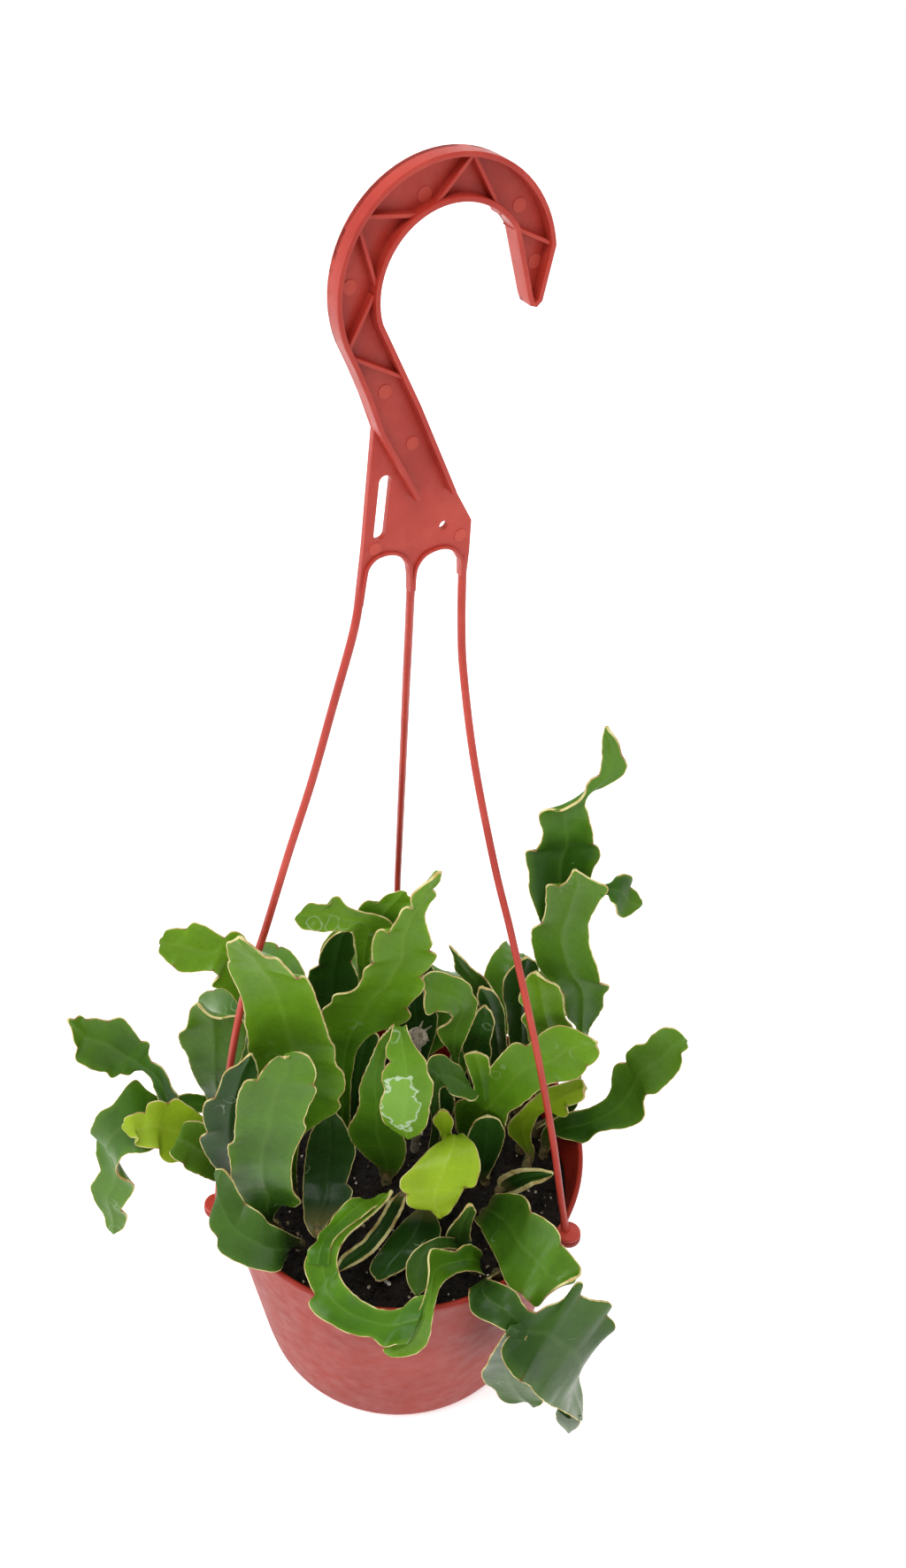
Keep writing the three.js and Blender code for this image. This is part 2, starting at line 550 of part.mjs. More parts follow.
// Stems by name, each with its root's x and y and its pads. A pad in view has its two margins
// as the photograph shows them, in pixels from the root to the tip: left x, left y, right x and
// right y at each notch and swelling. Its `depth` is how far back its middle stands (y in mm)
// at even steps along it. A pad that is hidden or guessed has a spine instead: x, y, z, half
// width and a turn about the spine in degrees, with its lobes and how deep its notches are.
const STEMS = [
  {
    name: "stem_front_arc",
    tone: BRIGHT_GREEN,
    root: [30, -44],
    pads: [
      {
        cup: 0.2,
        depth: [-53, -67, -86, -91],
        margins: [
          [548, 1442, 545, 1418], [536, 1438, 536, 1409], [525, 1438, 526, 1407],
          [515, 1440, 514, 1415], [507, 1445, 500, 1413], [500, 1451, 488, 1412],
          [495, 1460, 484, 1421], [492, 1470, 485, 1437], [490, 1482, 482, 1456],
          [488, 1498, 476, 1475], [486, 1512, 468, 1492], [479, 1524, 458, 1508],
          [464, 1533, 446, 1520], [447, 1535, 434, 1524],
        ],
      },
      {
        cup: 0.2,
        depth: [-88, -82, -62, -34],
        margins: [
          [460, 1520, 484, 1464], [446, 1521, 470, 1466], [434, 1523, 456, 1478],
          [424, 1516, 443, 1481], [420, 1512, 432, 1480], [404, 1510, 420, 1476],
          [386, 1504, 408, 1469], [370, 1495, 398, 1461], [354, 1484, 390, 1452],
          [349, 1473, 385, 1443], [356, 1465, 383, 1436], [348, 1448, 381, 1428],
          [344, 1430, 382, 1418], [349, 1416, 386, 1408], [358, 1409, 392, 1399],
          [365, 1401, 400, 1391], [376, 1390, 410, 1383], [388, 1381, 418, 1376],
          [402, 1373, 426, 1369], [416, 1366, 433, 1362], [429, 1359, 439, 1356], [440, 1350, 443, 1346],
        ],
      },
      {
        cup: -0.1,
        depth: [-69, -35],
        margins: [
          [347, 1428, 372, 1430], [348, 1414, 374, 1412], [358, 1404, 378, 1402],
          [360, 1396, 386, 1394], [370, 1386, 396, 1386], [380, 1371, 406, 1379],
          [394, 1357, 416, 1371], [406, 1354, 424, 1365], [412, 1360, 430, 1360], [428, 1351, 438, 1353],
        ],
      },
    ],
  },
  {
    name: "stem_brown_edge",
    tone: MID_GREEN,
    root: [3, -8],
    pads: [
      {
        cup: 0.1,
        depth: [-12, -40, -56],
        margins: [
          [460, 1352, 447, 1352], [457, 1364, 440, 1358], [450, 1378, 434, 1368],
          [443, 1390, 427, 1380], [434, 1403, 417, 1393], [424, 1415, 408, 1404],
          [412, 1424, 396, 1412], [398, 1432, 386, 1420], [384, 1438, 381, 1431],
        ],
      },
    ],
  },
  {
    name: "stem_front_bright",
    tone: BRIGHT_GREEN,
    root: [18, 0],
    pads: [
      {
        cup: 0.12,
        depth: [-2, -26, -36, -42, -45],
        margins: [
          [494, 1318, 506, 1316], [500, 1298, 512, 1296], [503, 1284, 522, 1282],
          [500, 1290, 531, 1289], [488, 1298, 538, 1297], [474, 1311, 541, 1306],
          [464, 1322, 543, 1318], [453, 1333, 541, 1332], [452, 1343, 536, 1342],
          [459, 1350, 526, 1342], [460, 1361, 521, 1351], [471, 1367, 514, 1362],
          [486, 1367, 507, 1372], [493, 1375, 500, 1376],
        ],
      },
      {
        depth: [-16, -14],
        margins: [
          [500, 1292, 514, 1290], [496, 1278, 510, 1279], [489, 1266, 513, 1268], [494, 1258, 508, 1259],
        ],
      },
    ],
  },
  {
    name: "stem_dry_edge",
    tone: MID_GREEN,
    root: [42, -8],
    pads: [
      {
        cup: 0.2,
        depth: [-9, -17, -20],
        margins: [
          [563, 1344, 572, 1350], [563, 1333, 582, 1350], [573, 1326, 593, 1346],
          [585, 1322, 603, 1340], [598, 1321, 614, 1336], [612, 1322, 621, 1332], [622, 1325, 625, 1328],
        ],
      },
    ],
  },
  {
    name: "stem_right_front",
    tone: MID_GREEN,
    root: [35, -19],
    pads: [
      {
        cup: 0.1,
        depth: [-20, -51, -69, -73],
        margins: [
          [556, 1354, 538, 1378], [568, 1350, 543, 1388], [580, 1350, 549, 1400],
          [592, 1353, 556, 1413], [598, 1360, 563, 1426], [600, 1370, 566, 1436],
          [613, 1376, 571, 1448], [624, 1384, 578, 1457], [632, 1395, 588, 1463],
          [634, 1406, 598, 1472], [646, 1419, 607, 1478], [656, 1432, 616, 1467],
          [656, 1440, 630, 1455], [652, 1444, 641, 1449],
        ],
      },
    ],
  },
  {
    name: "stem_right_low",
    tone: MID_GREEN,
    root: [39, -47],
    pads: [
      {
        cup: 0.08,
        depth: [-68, -78, -83, -85, -85, -86, -85, -84, -83, -81, -77],
        margins: [
          [550, 1446, 530, 1458], [562, 1450, 532, 1481], [574, 1455, 542, 1491],
          [584, 1461, 554, 1496], [590, 1472, 566, 1502], [597, 1482, 580, 1508],
          [607, 1484, 569, 1519], [617, 1477, 566, 1528], [632, 1472, 570, 1541],
          [643, 1463, 578, 1553], [656, 1449, 588, 1562], [656, 1464, 598, 1567],
          [668, 1469, 603, 1574], [691, 1474, 609, 1580], [686, 1486, 616, 1585],
          [695, 1500, 622, 1589], [686, 1510, 628, 1592], [670, 1525, 634, 1595],
          [651, 1543, 640, 1598], [654, 1560, 645, 1601], [658, 1580, 650, 1604], [658, 1600, 654, 1607],
        ],
      },
      {
        depth: [-88, -83, -77, -74, -73],
        margins: [
          [598, 1504, 576, 1500], [594, 1516, 566, 1514], [594, 1524, 561, 1522],
          [595, 1534, 555, 1532], [597, 1546, 549, 1544], [600, 1556, 544, 1552],
          [604, 1565, 549, 1564], [608, 1574, 560, 1572], [611, 1580, 567, 1583],
          [614, 1584, 580, 1586], [611, 1588, 594, 1583], [606, 1590, 600, 1588],
        ],
      },
      {
        cup: -0.3,
        depth: [-78, -76],
        margins: [
          [656, 1600, 630, 1593], [656, 1608, 628, 1601], [652, 1614, 633, 1611], [646, 1618, 640, 1616],
        ],
      },
    ],
  },
  {
    name: "stem_front_left",
    tone: MID_GREEN,
    root: [-51, -25],
    pads: [
      {
        depth: [-32, -39, -42, -44, -45, -45, -45, -43, -43],
        margins: [
          [296, 1382, 309, 1377], [284, 1369, 321, 1362], [274, 1357, 333, 1364],
          [268, 1349, 340, 1358], [264, 1341, 332, 1347], [261, 1327, 330, 1335],
          [260, 1312, 330, 1320], [258, 1295, 333, 1303], [264, 1290, 339, 1290],
          [265, 1276, 346, 1275], [266, 1262, 344, 1268], [267, 1248, 350, 1250],
          [271, 1232, 358, 1232], [279, 1221, 355, 1226], [290, 1222, 357, 1214],
          [296, 1210, 354, 1203], [304, 1201, 349, 1194], [314, 1194, 337, 1189], [321, 1196, 328, 1191],
        ],
      },
    ],
  },
  {
    name: "stem_behind_front_left",
    tone: DARK_GREEN,
    root: [-56, -15],
    pads: [
      {
        depth: [-23, -34, -35, -36, -36, -36, -35, -35],
        margins: [
          [270, 1352, 290, 1350], [252, 1331, 290, 1330], [240, 1316, 290, 1312],
          [230, 1300, 288, 1298], [226, 1286, 286, 1284], [234, 1280, 286, 1278],
          [229, 1262, 287, 1262], [232, 1246, 288, 1246], [243, 1241, 290, 1238],
          [248, 1226, 291, 1224], [256, 1210, 292, 1212], [268, 1204, 290, 1202], [280, 1193, 286, 1193],
        ],
      },
    ],
  },
  {
    name: "stem_over_rim_left",
    tone: MID_GREEN,
    root: [-41, -33],
    pads: [
      {
        cup: -0.1,
        depth: [-42, -59, -60, -57, -53, -47, -42],
        margins: [
          [328, 1412, 334, 1398], [322, 1424, 326, 1394], [310, 1438, 314, 1388],
          [294, 1436, 304, 1383], [276, 1431, 294, 1371], [260, 1423, 284, 1365],
          [247, 1414, 277, 1360], [246, 1399, 270, 1348], [237, 1386, 265, 1338],
          [239, 1369, 258, 1328], [248, 1352, 251, 1321], [247, 1334, 245, 1322],
        ],
      },
    ],
  },
  {
    name: "stem_dark_centre_left",
    tone: DARK_GREEN,
    root: [-32, -31],
    pads: [
      {
        depth: [-31, -20, -9, -3],
        margins: [
          [352, 1396, 366, 1394], [345, 1384, 370, 1384], [343, 1370, 380, 1371],
          [342, 1356, 394, 1358], [342, 1345, 399, 1347], [343, 1334, 392, 1338],
          [344, 1318, 398, 1318], [346, 1300, 402, 1300], [350, 1284, 396, 1284],
          [358, 1270, 388, 1268], [368, 1260, 380, 1258],
        ],
      },
    ],
  },
  {
    name: "stem_big_left",
    tone: BRIGHT_GREEN,
    root: [-45, -9],
    pads: [
      {
        depth: [-17, -29, -37],
        margins: [
          [318, 1316, 336, 1312], [306, 1290, 343, 1283], [298, 1275, 362, 1268],
          [291, 1262, 379, 1258], [288, 1250, 385, 1251], [286, 1240, 383, 1243],
          [284, 1229, 390, 1231], [282, 1214, 388, 1213], [281, 1199, 380, 1202],
          [280, 1186, 378, 1183], [280, 1174, 374, 1177], [277, 1158, 368, 1158],
          [275, 1137, 359, 1132], [269, 1119, 351, 1112], [262, 1104, 344, 1105],
          [257, 1091, 336, 1108], [259, 1086, 324, 1094], [257, 1076, 314, 1084],
          [256, 1067, 301, 1083], [260, 1065, 290, 1073], [267, 1061, 276, 1062],
        ],
      },
    ],
  },
  {
    name: "stem_grey_left",
    tone: MID_GREEN,
    root: [-53, 3],
    pads: [
      {
        depth: [3, -6, -8, -9],
        margins: [
          [262, 1300, 278, 1296], [240, 1262, 268, 1256], [231, 1236, 262, 1240],
          [222, 1222, 263, 1226], [215, 1205, 268, 1211], [211, 1191, 274, 1193],
          [203, 1179, 278, 1177], [202, 1168, 278, 1162], [210, 1162, 272, 1151],
          [213, 1150, 262, 1149], [215, 1141, 249, 1152], [220, 1135, 236, 1148], [222, 1134, 227, 1139],
        ],
      },
    ],
  },
  {
    name: "stem_upper_left",
    tone: BRIGHT_GREEN,
    root: [-49, 9],
    pads: [
      {
        depth: [4, -9, -9, -10, -11, -11, -11],
        margins: [
          [306, 1262, 318, 1258], [288, 1182, 308, 1178], [270, 1138, 298, 1126],
          [253, 1118, 292, 1100], [239, 1115, 284, 1074], [248, 1104, 273, 1056],
          [240, 1098, 262, 1053], [228, 1098, 254, 1060], [214, 1100, 240, 1051],
          [202, 1098, 228, 1045], [196, 1093, 218, 1043], [190, 1089, 211, 1050],
          [184, 1083, 197, 1050], [179, 1076, 187, 1052], [181, 1069, 184, 1059],
        ],
      },
    ],
  },
  {
    name: "stem_far_left",
    tone: MID_GREEN,
    root: [-58, 12],
    pads: [
      {
        depth: [14, 3, -8, -10, -10, -10, -10, -10],
        margins: [
          [290, 1286, 300, 1276], [262, 1270, 268, 1256], [236, 1258, 236, 1240],
          [214, 1260, 212, 1236], [196, 1272, 196, 1240], [184, 1290, 179, 1240],
          [176, 1298, 166, 1232], [162, 1304, 152, 1221], [148, 1304, 139, 1233],
          [138, 1309, 128, 1248], [133, 1317, 113, 1257], [132, 1324, 105, 1273],
          [136, 1331, 103, 1281], [142, 1334, 110, 1286], [149, 1337, 109, 1304],
          [152, 1344, 113, 1322], [148, 1353, 108, 1332], [141, 1362, 102, 1342],
          [137, 1369, 105, 1352], [143, 1374, 109, 1361], [142, 1385, 118, 1374],
          [136, 1392, 121, 1388], [131, 1394, 126, 1393],
        ],
      },
      {
        depth: [0, -1, -3],
        margins: [
          [182, 1254, 201, 1250], [180, 1246, 202, 1241], [174, 1230, 195, 1230],
          [170, 1219, 190, 1216], [161, 1210, 181, 1205], [152, 1211, 172, 1201],
          [146, 1216, 168, 1190], [136, 1214, 168, 1178], [127, 1219, 160, 1177],
          [120, 1213, 153, 1167], [108, 1211, 146, 1158], [96, 1206, 136, 1150], [87, 1201, 122, 1154],
          [85, 1193, 108, 1151], [88, 1186, 98, 1152], [83, 1177, 90, 1148], [81, 1165, 85, 1152],
          [77, 1157, 79, 1151],
        ],
      },
    ],
  },
  {
    name: "stem_yellow_left",
    tone: BRIGHT_GREEN,
    root: [-64, -1],
    pads: [
      {
        depth: [-5, -14, -16, -17, -19, -20, -19],
        margins: [
          [262, 1316, 270, 1307], [237, 1304, 246, 1285], [223, 1304, 231, 1264],
          [211, 1309, 219, 1254], [200, 1314, 208, 1247], [189, 1315, 199, 1242],
          [181, 1308, 190, 1247], [180, 1299, 178, 1244], [170, 1298, 168, 1247],
          [160, 1297, 164, 1258], [152, 1293, 155, 1258], [157, 1288, 148, 1261],
          [148, 1286, 141, 1264], [141, 1279, 140, 1270],
        ],
      },
    ],
  },
  {
    name: "stem_square_left",
    tone: DARK_GREEN,
    root: [-61, -8],
    pads: [
      {
        depth: [-18, -24, -26, -26],
        margins: [
          [260, 1337, 268, 1327], [246, 1336, 258, 1312], [232, 1332, 250, 1296],
          [222, 1327, 244, 1284], [210, 1322, 237, 1274], [207, 1316, 228, 1269],
          [195, 1309, 216, 1267], [192, 1303, 209, 1269], [197, 1299, 205, 1280], [201, 1297, 203, 1290],
        ],
      },
    ],
  },
  {
    name: "stem_tall_centre",
    tone: BRIGHT_GREEN,
    root: [-25, 8],
    pads: [
      {
        depth: [5, -8, -12, -12],
        margins: [
          [382, 1286, 396, 1284], [379, 1250, 396, 1246], [376, 1215, 399, 1210],
          [373, 1186, 406, 1183], [370, 1166, 424, 1167], [366, 1152, 446, 1160],
          [364, 1142, 464, 1150], [373, 1135, 460, 1139], [378, 1125, 468, 1130],
          [390, 1123, 478, 1120], [401, 1118, 480, 1111], [408, 1108, 475, 1104],
          [412, 1096, 486, 1093], [421, 1089, 494, 1081], [420, 1074, 486, 1075],
          [422, 1060, 489, 1068], [430, 1051, 486, 1058], [439, 1055, 483, 1046],
          [449, 1038, 481, 1033], [458, 1026, 486, 1021], [466, 1028, 494, 1011],
          [464, 1014, 489, 1005], [476, 1002, 497, 996], [487, 995, 499, 986],
        ],
      },
    ],
  },
  {
    name: "stem_dark_behind_centre",
    tone: DARK_GREEN,
    root: [-20, 22],
    pads: [
      {
        lobes: 4, notch: 0.18,
        spine: [
          [-20, 22, 94, 2], [-20, 17, 112, 5], [-18, 14, 136, 8.5], [-16, 13, 156, 9],
          [-13, 12, 172, 4.5],
        ],
      },
    ],
  },
  {
    name: "stem_dark_upper",
    tone: DARK_GREEN,
    root: [-32, 32],
    pads: [
      {
        depth: [28, 12, 12, 12],
        margins: [
          [366, 1240, 377, 1236], [358, 1190, 374, 1186], [352, 1152, 384, 1150],
          [349, 1130, 397, 1128], [348, 1112, 406, 1109], [350, 1097, 402, 1098],
          [360, 1091, 397, 1086], [361, 1080, 402, 1077], [367, 1068, 400, 1066],
          [376, 1058, 399, 1055], [385, 1053, 395, 1052],
        ],
      },
    ],
  },
  {
    name: "stem_curled_top",
    tone: BRIGHT_GREEN,
    root: [-11, 37],
    pads: [
      {
        cup: 0.35,
        depth: [27, 5, 2, -2, -2, -3, -3, -4, -4, -4],
        margins: [
          [418, 1220, 430, 1216], [410, 1150, 424, 1146], [405, 1106, 421, 1102],
          [402, 1080, 420, 1082], [400, 1062, 428, 1066], [398, 1053, 444, 1045],
          [392, 1053, 429, 1035], [384, 1053, 414, 1032], [374, 1053, 400, 1028],
          [364, 1054, 390, 1022], [356, 1053, 384, 1014], [350, 1052, 375, 1015],
          [346, 1052, 374, 1022], [342, 1051, 360, 1022], [339, 1049, 349, 1021],
          [336, 1045, 343, 1026], [334, 1041, 340, 1031],
        ],
      },
      {
        depth: [1, 5],
        margins: [
          [404, 1058, 440, 1062], [402, 1034, 452, 1048], [410, 1021, 462, 1037],
          [416, 1018, 466, 1028], [425, 1022, 467, 1021], [438, 1011, 466, 1016], [449, 1008, 461, 1012],
        ],
      },
    ],
  },
  {
    name: "stem_folded_centre",
    tone: MID_GREEN,
    root: [-6, -2],
    pads: [
      {
        cup: 0.18,
        depth: [-6, -15, -12, -27, -33, -33],
        margins: [
          [424, 1316, 452, 1322], [410, 1305, 458, 1310], [398, 1291, 459, 1296],
          [393, 1277, 456, 1282], [399, 1264, 452, 1266], [406, 1248, 446, 1250],
          [406, 1230, 440, 1232], [412, 1212, 436, 1216], [420, 1195, 436, 1200],
          [427, 1178, 442, 1184], [438, 1165, 450, 1170], [445, 1158, 459, 1159],
          [440, 1174, 466, 1178], [435, 1190, 475, 1191], [441, 1200, 482, 1200],
          [432, 1212, 484, 1214], [431, 1222, 490, 1225], [434, 1231, 489, 1238],
          [429, 1250, 486, 1250], [434, 1269, 484, 1266], [441, 1275, 478, 1278],
          [452, 1282, 470, 1284], [459, 1285, 464, 1286],
        ],
      },
    ],
  },
  {
    name: "stem_centre_ribbon",
    tone: MID_GREEN,
    root: [26, 25],
    pads: [
      {
        cup: 0.2,
        depth: [17, 2, -3, -5, -6, -6],
        margins: [
          [514, 1250, 524, 1248], [511, 1222, 521, 1220], [510, 1196, 519, 1196],
          [505, 1184, 522, 1184], [498, 1175, 528, 1170], [494, 1164, 533, 1158],
          [505, 1158, 538, 1144], [511, 1151, 540, 1132], [508, 1145, 535, 1124],
          [500, 1144, 531, 1113], [492, 1144, 520, 1106], [483, 1148, 508, 1102],
          [480, 1143, 496, 1098], [479, 1133, 486, 1099], [481, 1123, 480, 1103],
        ],
      },
    ],
  },
  {
    name: "stem_grey_tip",
    tone: MID_GREEN,
    root: [40, 40],
    pads: [
      {
        depth: [29, 13, 10, 9],
        margins: [
          [548, 1240, 556, 1236], [547, 1190, 560, 1186], [543, 1150, 562, 1146],
          [536, 1130, 560, 1124], [530, 1116, 552, 1111], [521, 1104, 546, 1104],
          [514, 1096, 534, 1095], [513, 1088, 523, 1083], [511, 1078, 516, 1076], [507, 1070, 510, 1070],
        ],
      },
    ],
  },
  {
    name: "stem_inner_dark",
    tone: DARK_GREEN,
    root: [35, 30],
    pads: [
      {
        depth: [23, 8, 6, 3, 3],
        margins: [
          [534, 1245, 544, 1244], [530, 1220, 549, 1216], [525, 1196, 554, 1199],
          [522, 1184, 556, 1188], [526, 1173, 554, 1180], [530, 1163, 557, 1168],
          [535, 1153, 559, 1156], [539, 1143, 556, 1145], [545, 1138, 551, 1139],
        ],
      },
    ],
  },
  {
    name: "stem_outer_dark",
    tone: DARK_GREEN,
    root: [46, 27],
    pads: [
      {
        depth: [29, 10, 6],
        margins: [
          [562, 1240, 574, 1238], [556, 1215, 574, 1205], [552, 1195, 573, 1182],
          [549, 1175, 571, 1160], [545, 1155, 570, 1143], [542, 1138, 564, 1129],
          [539, 1126, 557, 1120], [541, 1118, 548, 1117],
        ],
      },
    ],
  },
  {
    name: "stem_back_dark",
    tone: DARK_GREEN,
    root: [52, 35],
    pads: [
      {
        depth: [34, 21, 20],
        margins: [
          [584, 1235, 598, 1232], [578, 1200, 600, 1194], [574, 1170, 604, 1162],
          [572, 1145, 606, 1135], [568, 1122, 608, 1112], [570, 1106, 609, 1098],
          [579, 1094, 607, 1089], [590, 1085, 600, 1084],
        ],
      },
    ],
  },
  {
    name: "stem_small_fold",
    tone: MID_GREEN,
    root: [13, 8],
    pads: [
      {
        depth: [-1, -10, -10, -9],
        margins: [
          [488, 1268, 499, 1268], [484, 1245, 497, 1245], [482, 1222, 498, 1231],
          [482, 1206, 504, 1228], [486, 1195, 509, 1237], [500, 1192, 516, 1240],
          [510, 1200, 524, 1242], [519, 1205, 531, 1245], [527, 1220, 537, 1244], [533, 1232, 540, 1240],
        ],
      },
    ],
  },
  {
    name: "stem_big_right",
    tone: BRIGHT_GREEN,
    root: [27, 13],
    pads: [
      {
        cup: 0.12,
        depth: [6, -5, -7, -8, -8, -8],
        margins: [
          [518, 1284, 538, 1286], [514, 1262, 556, 1279], [516, 1246, 569, 1277],
          [528, 1241, 573, 1266], [541, 1236, 576, 1257], [547, 1222, 586, 1251],
          [553, 1209, 597, 1243], [561, 1198, 608, 1233], [572, 1186, 620, 1226],
          [582, 1179, 632, 1223], [594, 1182, 644, 1222], [604, 1176, 653, 1219],
          [613, 1167, 661, 1212], [626, 1160, 664, 1206], [640, 1160, 670, 1203],
          [655, 1166, 675, 1197], [666, 1172, 678, 1190], [672, 1176, 674, 1183],
        ],
      },
      {
        cup: 0.08,
        depth: [-4, -3],
        margins: [
          [536, 1246, 560, 1241], [535, 1228, 556, 1222], [530, 1212, 554, 1208], [524, 1195, 553, 1197],
        ],
      },
    ],
  },
  {
    name: "stem_under_right",
    tone: BRIGHT_GREEN,
    root: [54, 3],
    pads: [
      {
        depth: [6, -3],
        margins: [
          [598, 1308, 604, 1304], [584, 1292, 600, 1286], [574, 1280, 603, 1272],
          [576, 1268, 610, 1260], [590, 1254, 620, 1254], [604, 1240, 632, 1262],
          [618, 1230, 642, 1261], [632, 1226, 640, 1251], [646, 1222, 652, 1248],
          [657, 1220, 661, 1241], [661, 1227, 659, 1234],
        ],
      },
    ],
  },
  {
    name: "stem_bright_right",
    tone: BRIGHT_GREEN,
    root: [52, 14],
    pads: [
      {
        depth: [9, -6],
        margins: [
          [604, 1250, 614, 1246], [602, 1206, 630, 1200], [598, 1180, 648, 1172],
          [594, 1160, 647, 1160], [589, 1152, 640, 1152], [594, 1142, 638, 1140],
          [586, 1130, 636, 1126], [591, 1114, 630, 1114], [597, 1103, 620, 1110], [603, 1099, 610, 1103],
        ],
      },
    ],
  },
  {
    name: "stem_tall_right",
    tone: MID_GREEN,
    root: [59, 23],
    pads: [
      {
        depth: [14, 11, 8, 6, 5, 2, 2],
        margins: [
          [640, 1256, 651, 1252], [644, 1215, 658, 1210], [648, 1182, 664, 1177],
          [651, 1162, 667, 1162], [641, 1150, 676, 1149], [638, 1136, 682, 1137],
          [637, 1121, 683, 1124], [626, 1113, 689, 1115], [614, 1102, 679, 1112],
          [607, 1090, 677, 1098], [603, 1075, 671, 1082], [600, 1062, 667, 1070],
          [602, 1050, 666, 1056], [612, 1044, 666, 1044], [616, 1028, 671, 1031],
          [617, 1012, 679, 1017], [619, 1001, 687, 1004], [631, 1003, 676, 998], [640, 997, 663, 991],
          [646, 986, 654, 985],
        ],
      },
      {
        depth: [8, 14, 12, 11, 10],
        margins: [
          [614, 1050, 648, 1056], [604, 1025, 664, 1031], [598, 1007, 668, 1012], [597, 988, 668, 992],
          [594, 972, 672, 980], [595, 962, 679, 968], [605, 962, 677, 959], [611, 952, 671, 955],
          [613, 938, 670, 940], [609, 926, 667, 928], [611, 918, 664, 917], [621, 915, 662, 911],
          [632, 917, 662, 906], [644, 912, 664, 901], [654, 906, 666, 897], [660, 898, 672, 893],
          [662, 889, 681, 890], [668, 881, 692, 884], [677, 876, 702, 878], [680, 862, 709, 867],
          [680, 846, 703, 853], [681, 832, 699, 839], [683, 822, 689, 826],
        ],
      },
      {
        depth: [3, 6],
        margins: [
          [680, 1001, 679, 1012], [690, 998, 687, 1012], [698, 990, 691, 1020], [708, 988, 695, 1024],
          [715, 993, 698, 1034], [712, 1002, 704, 1038], [720, 1008, 713, 1034], [724, 1016, 720, 1028],
        ],
      },
    ],
  },
  {
    name: "stem_far_right",
    tone: DARK_GREEN,
    root: [62, 12],
    pads: [
      {
        depth: [7, 3, 1, 1, 1, -1, -2, -2, -2],
        margins: [
          [618, 1272, 628, 1284], [640, 1258, 648, 1290], [660, 1254, 662, 1292],
          [673, 1249, 674, 1282], [684, 1242, 690, 1278], [691, 1230, 706, 1276],
          [692, 1214, 722, 1270], [697, 1203, 729, 1262], [708, 1201, 728, 1246],
          [709, 1190, 731, 1237], [718, 1181, 741, 1237], [728, 1180, 754, 1226],
          [737, 1170, 765, 1214], [750, 1162, 771, 1202], [763, 1163, 770, 1192],
          [771, 1169, 778, 1184], [775, 1174, 776, 1179],
        ],
      },
    ],
  },
  {
    name: "stem_half_moon",
    tone: MID_GREEN,
    root: [26, -38],
    pads: [
      {
        depth: [-47, -59, -66],
        margins: [
          [522, 1414, 514, 1400], [505, 1412, 498, 1399], [491, 1414, 484, 1403],
          [487, 1425, 470, 1412], [486, 1437, 459, 1428], [485, 1448, 459, 1442],
          [482, 1457, 462, 1454], [475, 1463, 468, 1463],
        ],
      },
      {
        depth: [-44, -46],
        margins: [
          [504, 1406, 534, 1410], [504, 1396, 532, 1396], [512, 1383, 534, 1382],
          [520, 1374, 538, 1370], [526, 1365, 535, 1363],
        ],
      },
    ],
  },
  {
    name: "stem_floor_dark",
    tone: DARK_GREEN,
    root: [12, -15],
    pads: [
      {
        cup: -0.1,
        depth: [-24, -42, -52],
        margins: [
          [494, 1376, 462, 1376], [498, 1390, 450, 1388], [496, 1402, 438, 1402],
          [484, 1412, 428, 1416], [470, 1424, 420, 1428], [456, 1436, 418, 1438], [440, 1444, 424, 1446],
        ],
      },
    ],
  },
  {
    name: "stem_under_bright",
    tone: DARK_GREEN,
    root: [36, -2],
    pads: [
      {
        depth: [-8, -7, -7],
        margins: [
          [540, 1334, 550, 1332], [535, 1322, 557, 1320], [531, 1308, 564, 1306],
          [529, 1294, 569, 1292], [529, 1282, 571, 1280], [535, 1270, 566, 1268],
        ],
      },
    ],
  },
  {
    name: "stem_centre_dark",
    tone: DARK_GREEN,
    root: [18, 18],
    pads: [
      {
        lobes: 2, notch: 0.15,
        spine: [
          [18, 18, 94, 2], [18, 6, 127, 3.5], [17, 2, 144, 5], [19, 0, 155, 3],
        ],
      },
    ],
  },
  {
    name: "stem_back_far_left",
    tone: MID_GREEN,
    root: [-57, 27],
    pads: [
      {
        lobes: 4, notch: 0.18,
        spine: [
          [-57, 27, 94, 2], [-60, 33, 116, 4], [-66, 42, 128, 8], [-75, 54, 131, 11],
          [-82, 66, 124, 10], [-87, 76, 110, 7], [-89, 82, 98, 3],
        ],
      },
    ],
  },
  {
    name: "stem_back_left",
    tone: MID_GREEN,
    root: [-45, 30],
    pads: [
      {
        lobes: 4, notch: 0.18,
        spine: [
          [-45, 30, 94, 2], [-46, 42, 120, 6], [-50, 54, 142, 12], [-56, 66, 147, 13],
          [-60, 78, 138, 11], [-62, 88, 124, 4],
        ],
      },
    ],
  },
  {
    name: "stem_back_low_left",
    tone: MID_GREEN,
    root: [-38, 44],
    pads: [
      {
        lobes: 4, notch: 0.18,
        spine: [
          [-38, 44, 94, 2], [-40, 53, 118, 4], [-43, 62, 127, 6], [-47, 72, 126, 9], [-51, 82, 117, 11],
          [-54, 90, 104, 9], [-56, 97, 88, 4],
        ],
      },
    ],
  },
  {
    name: "stem_back_mid_left",
    tone: MID_GREEN,
    root: [-28, 48],
    pads: [
      {
        lobes: 4, notch: 0.18,
        spine: [
          [-28, 48, 94, 2], [-29, 56, 125, 6], [-27, 62, 146, 11], [-24, 70, 154, 12],
          [-20, 80, 152, 10], [-18, 88, 142, 4],
        ],
      },
    ],
  },
  {
    name: "stem_back_upright",
    tone: MID_GREEN,
    root: [6, 36],
    pads: [
      {
        lobes: 4, notch: 0.18,
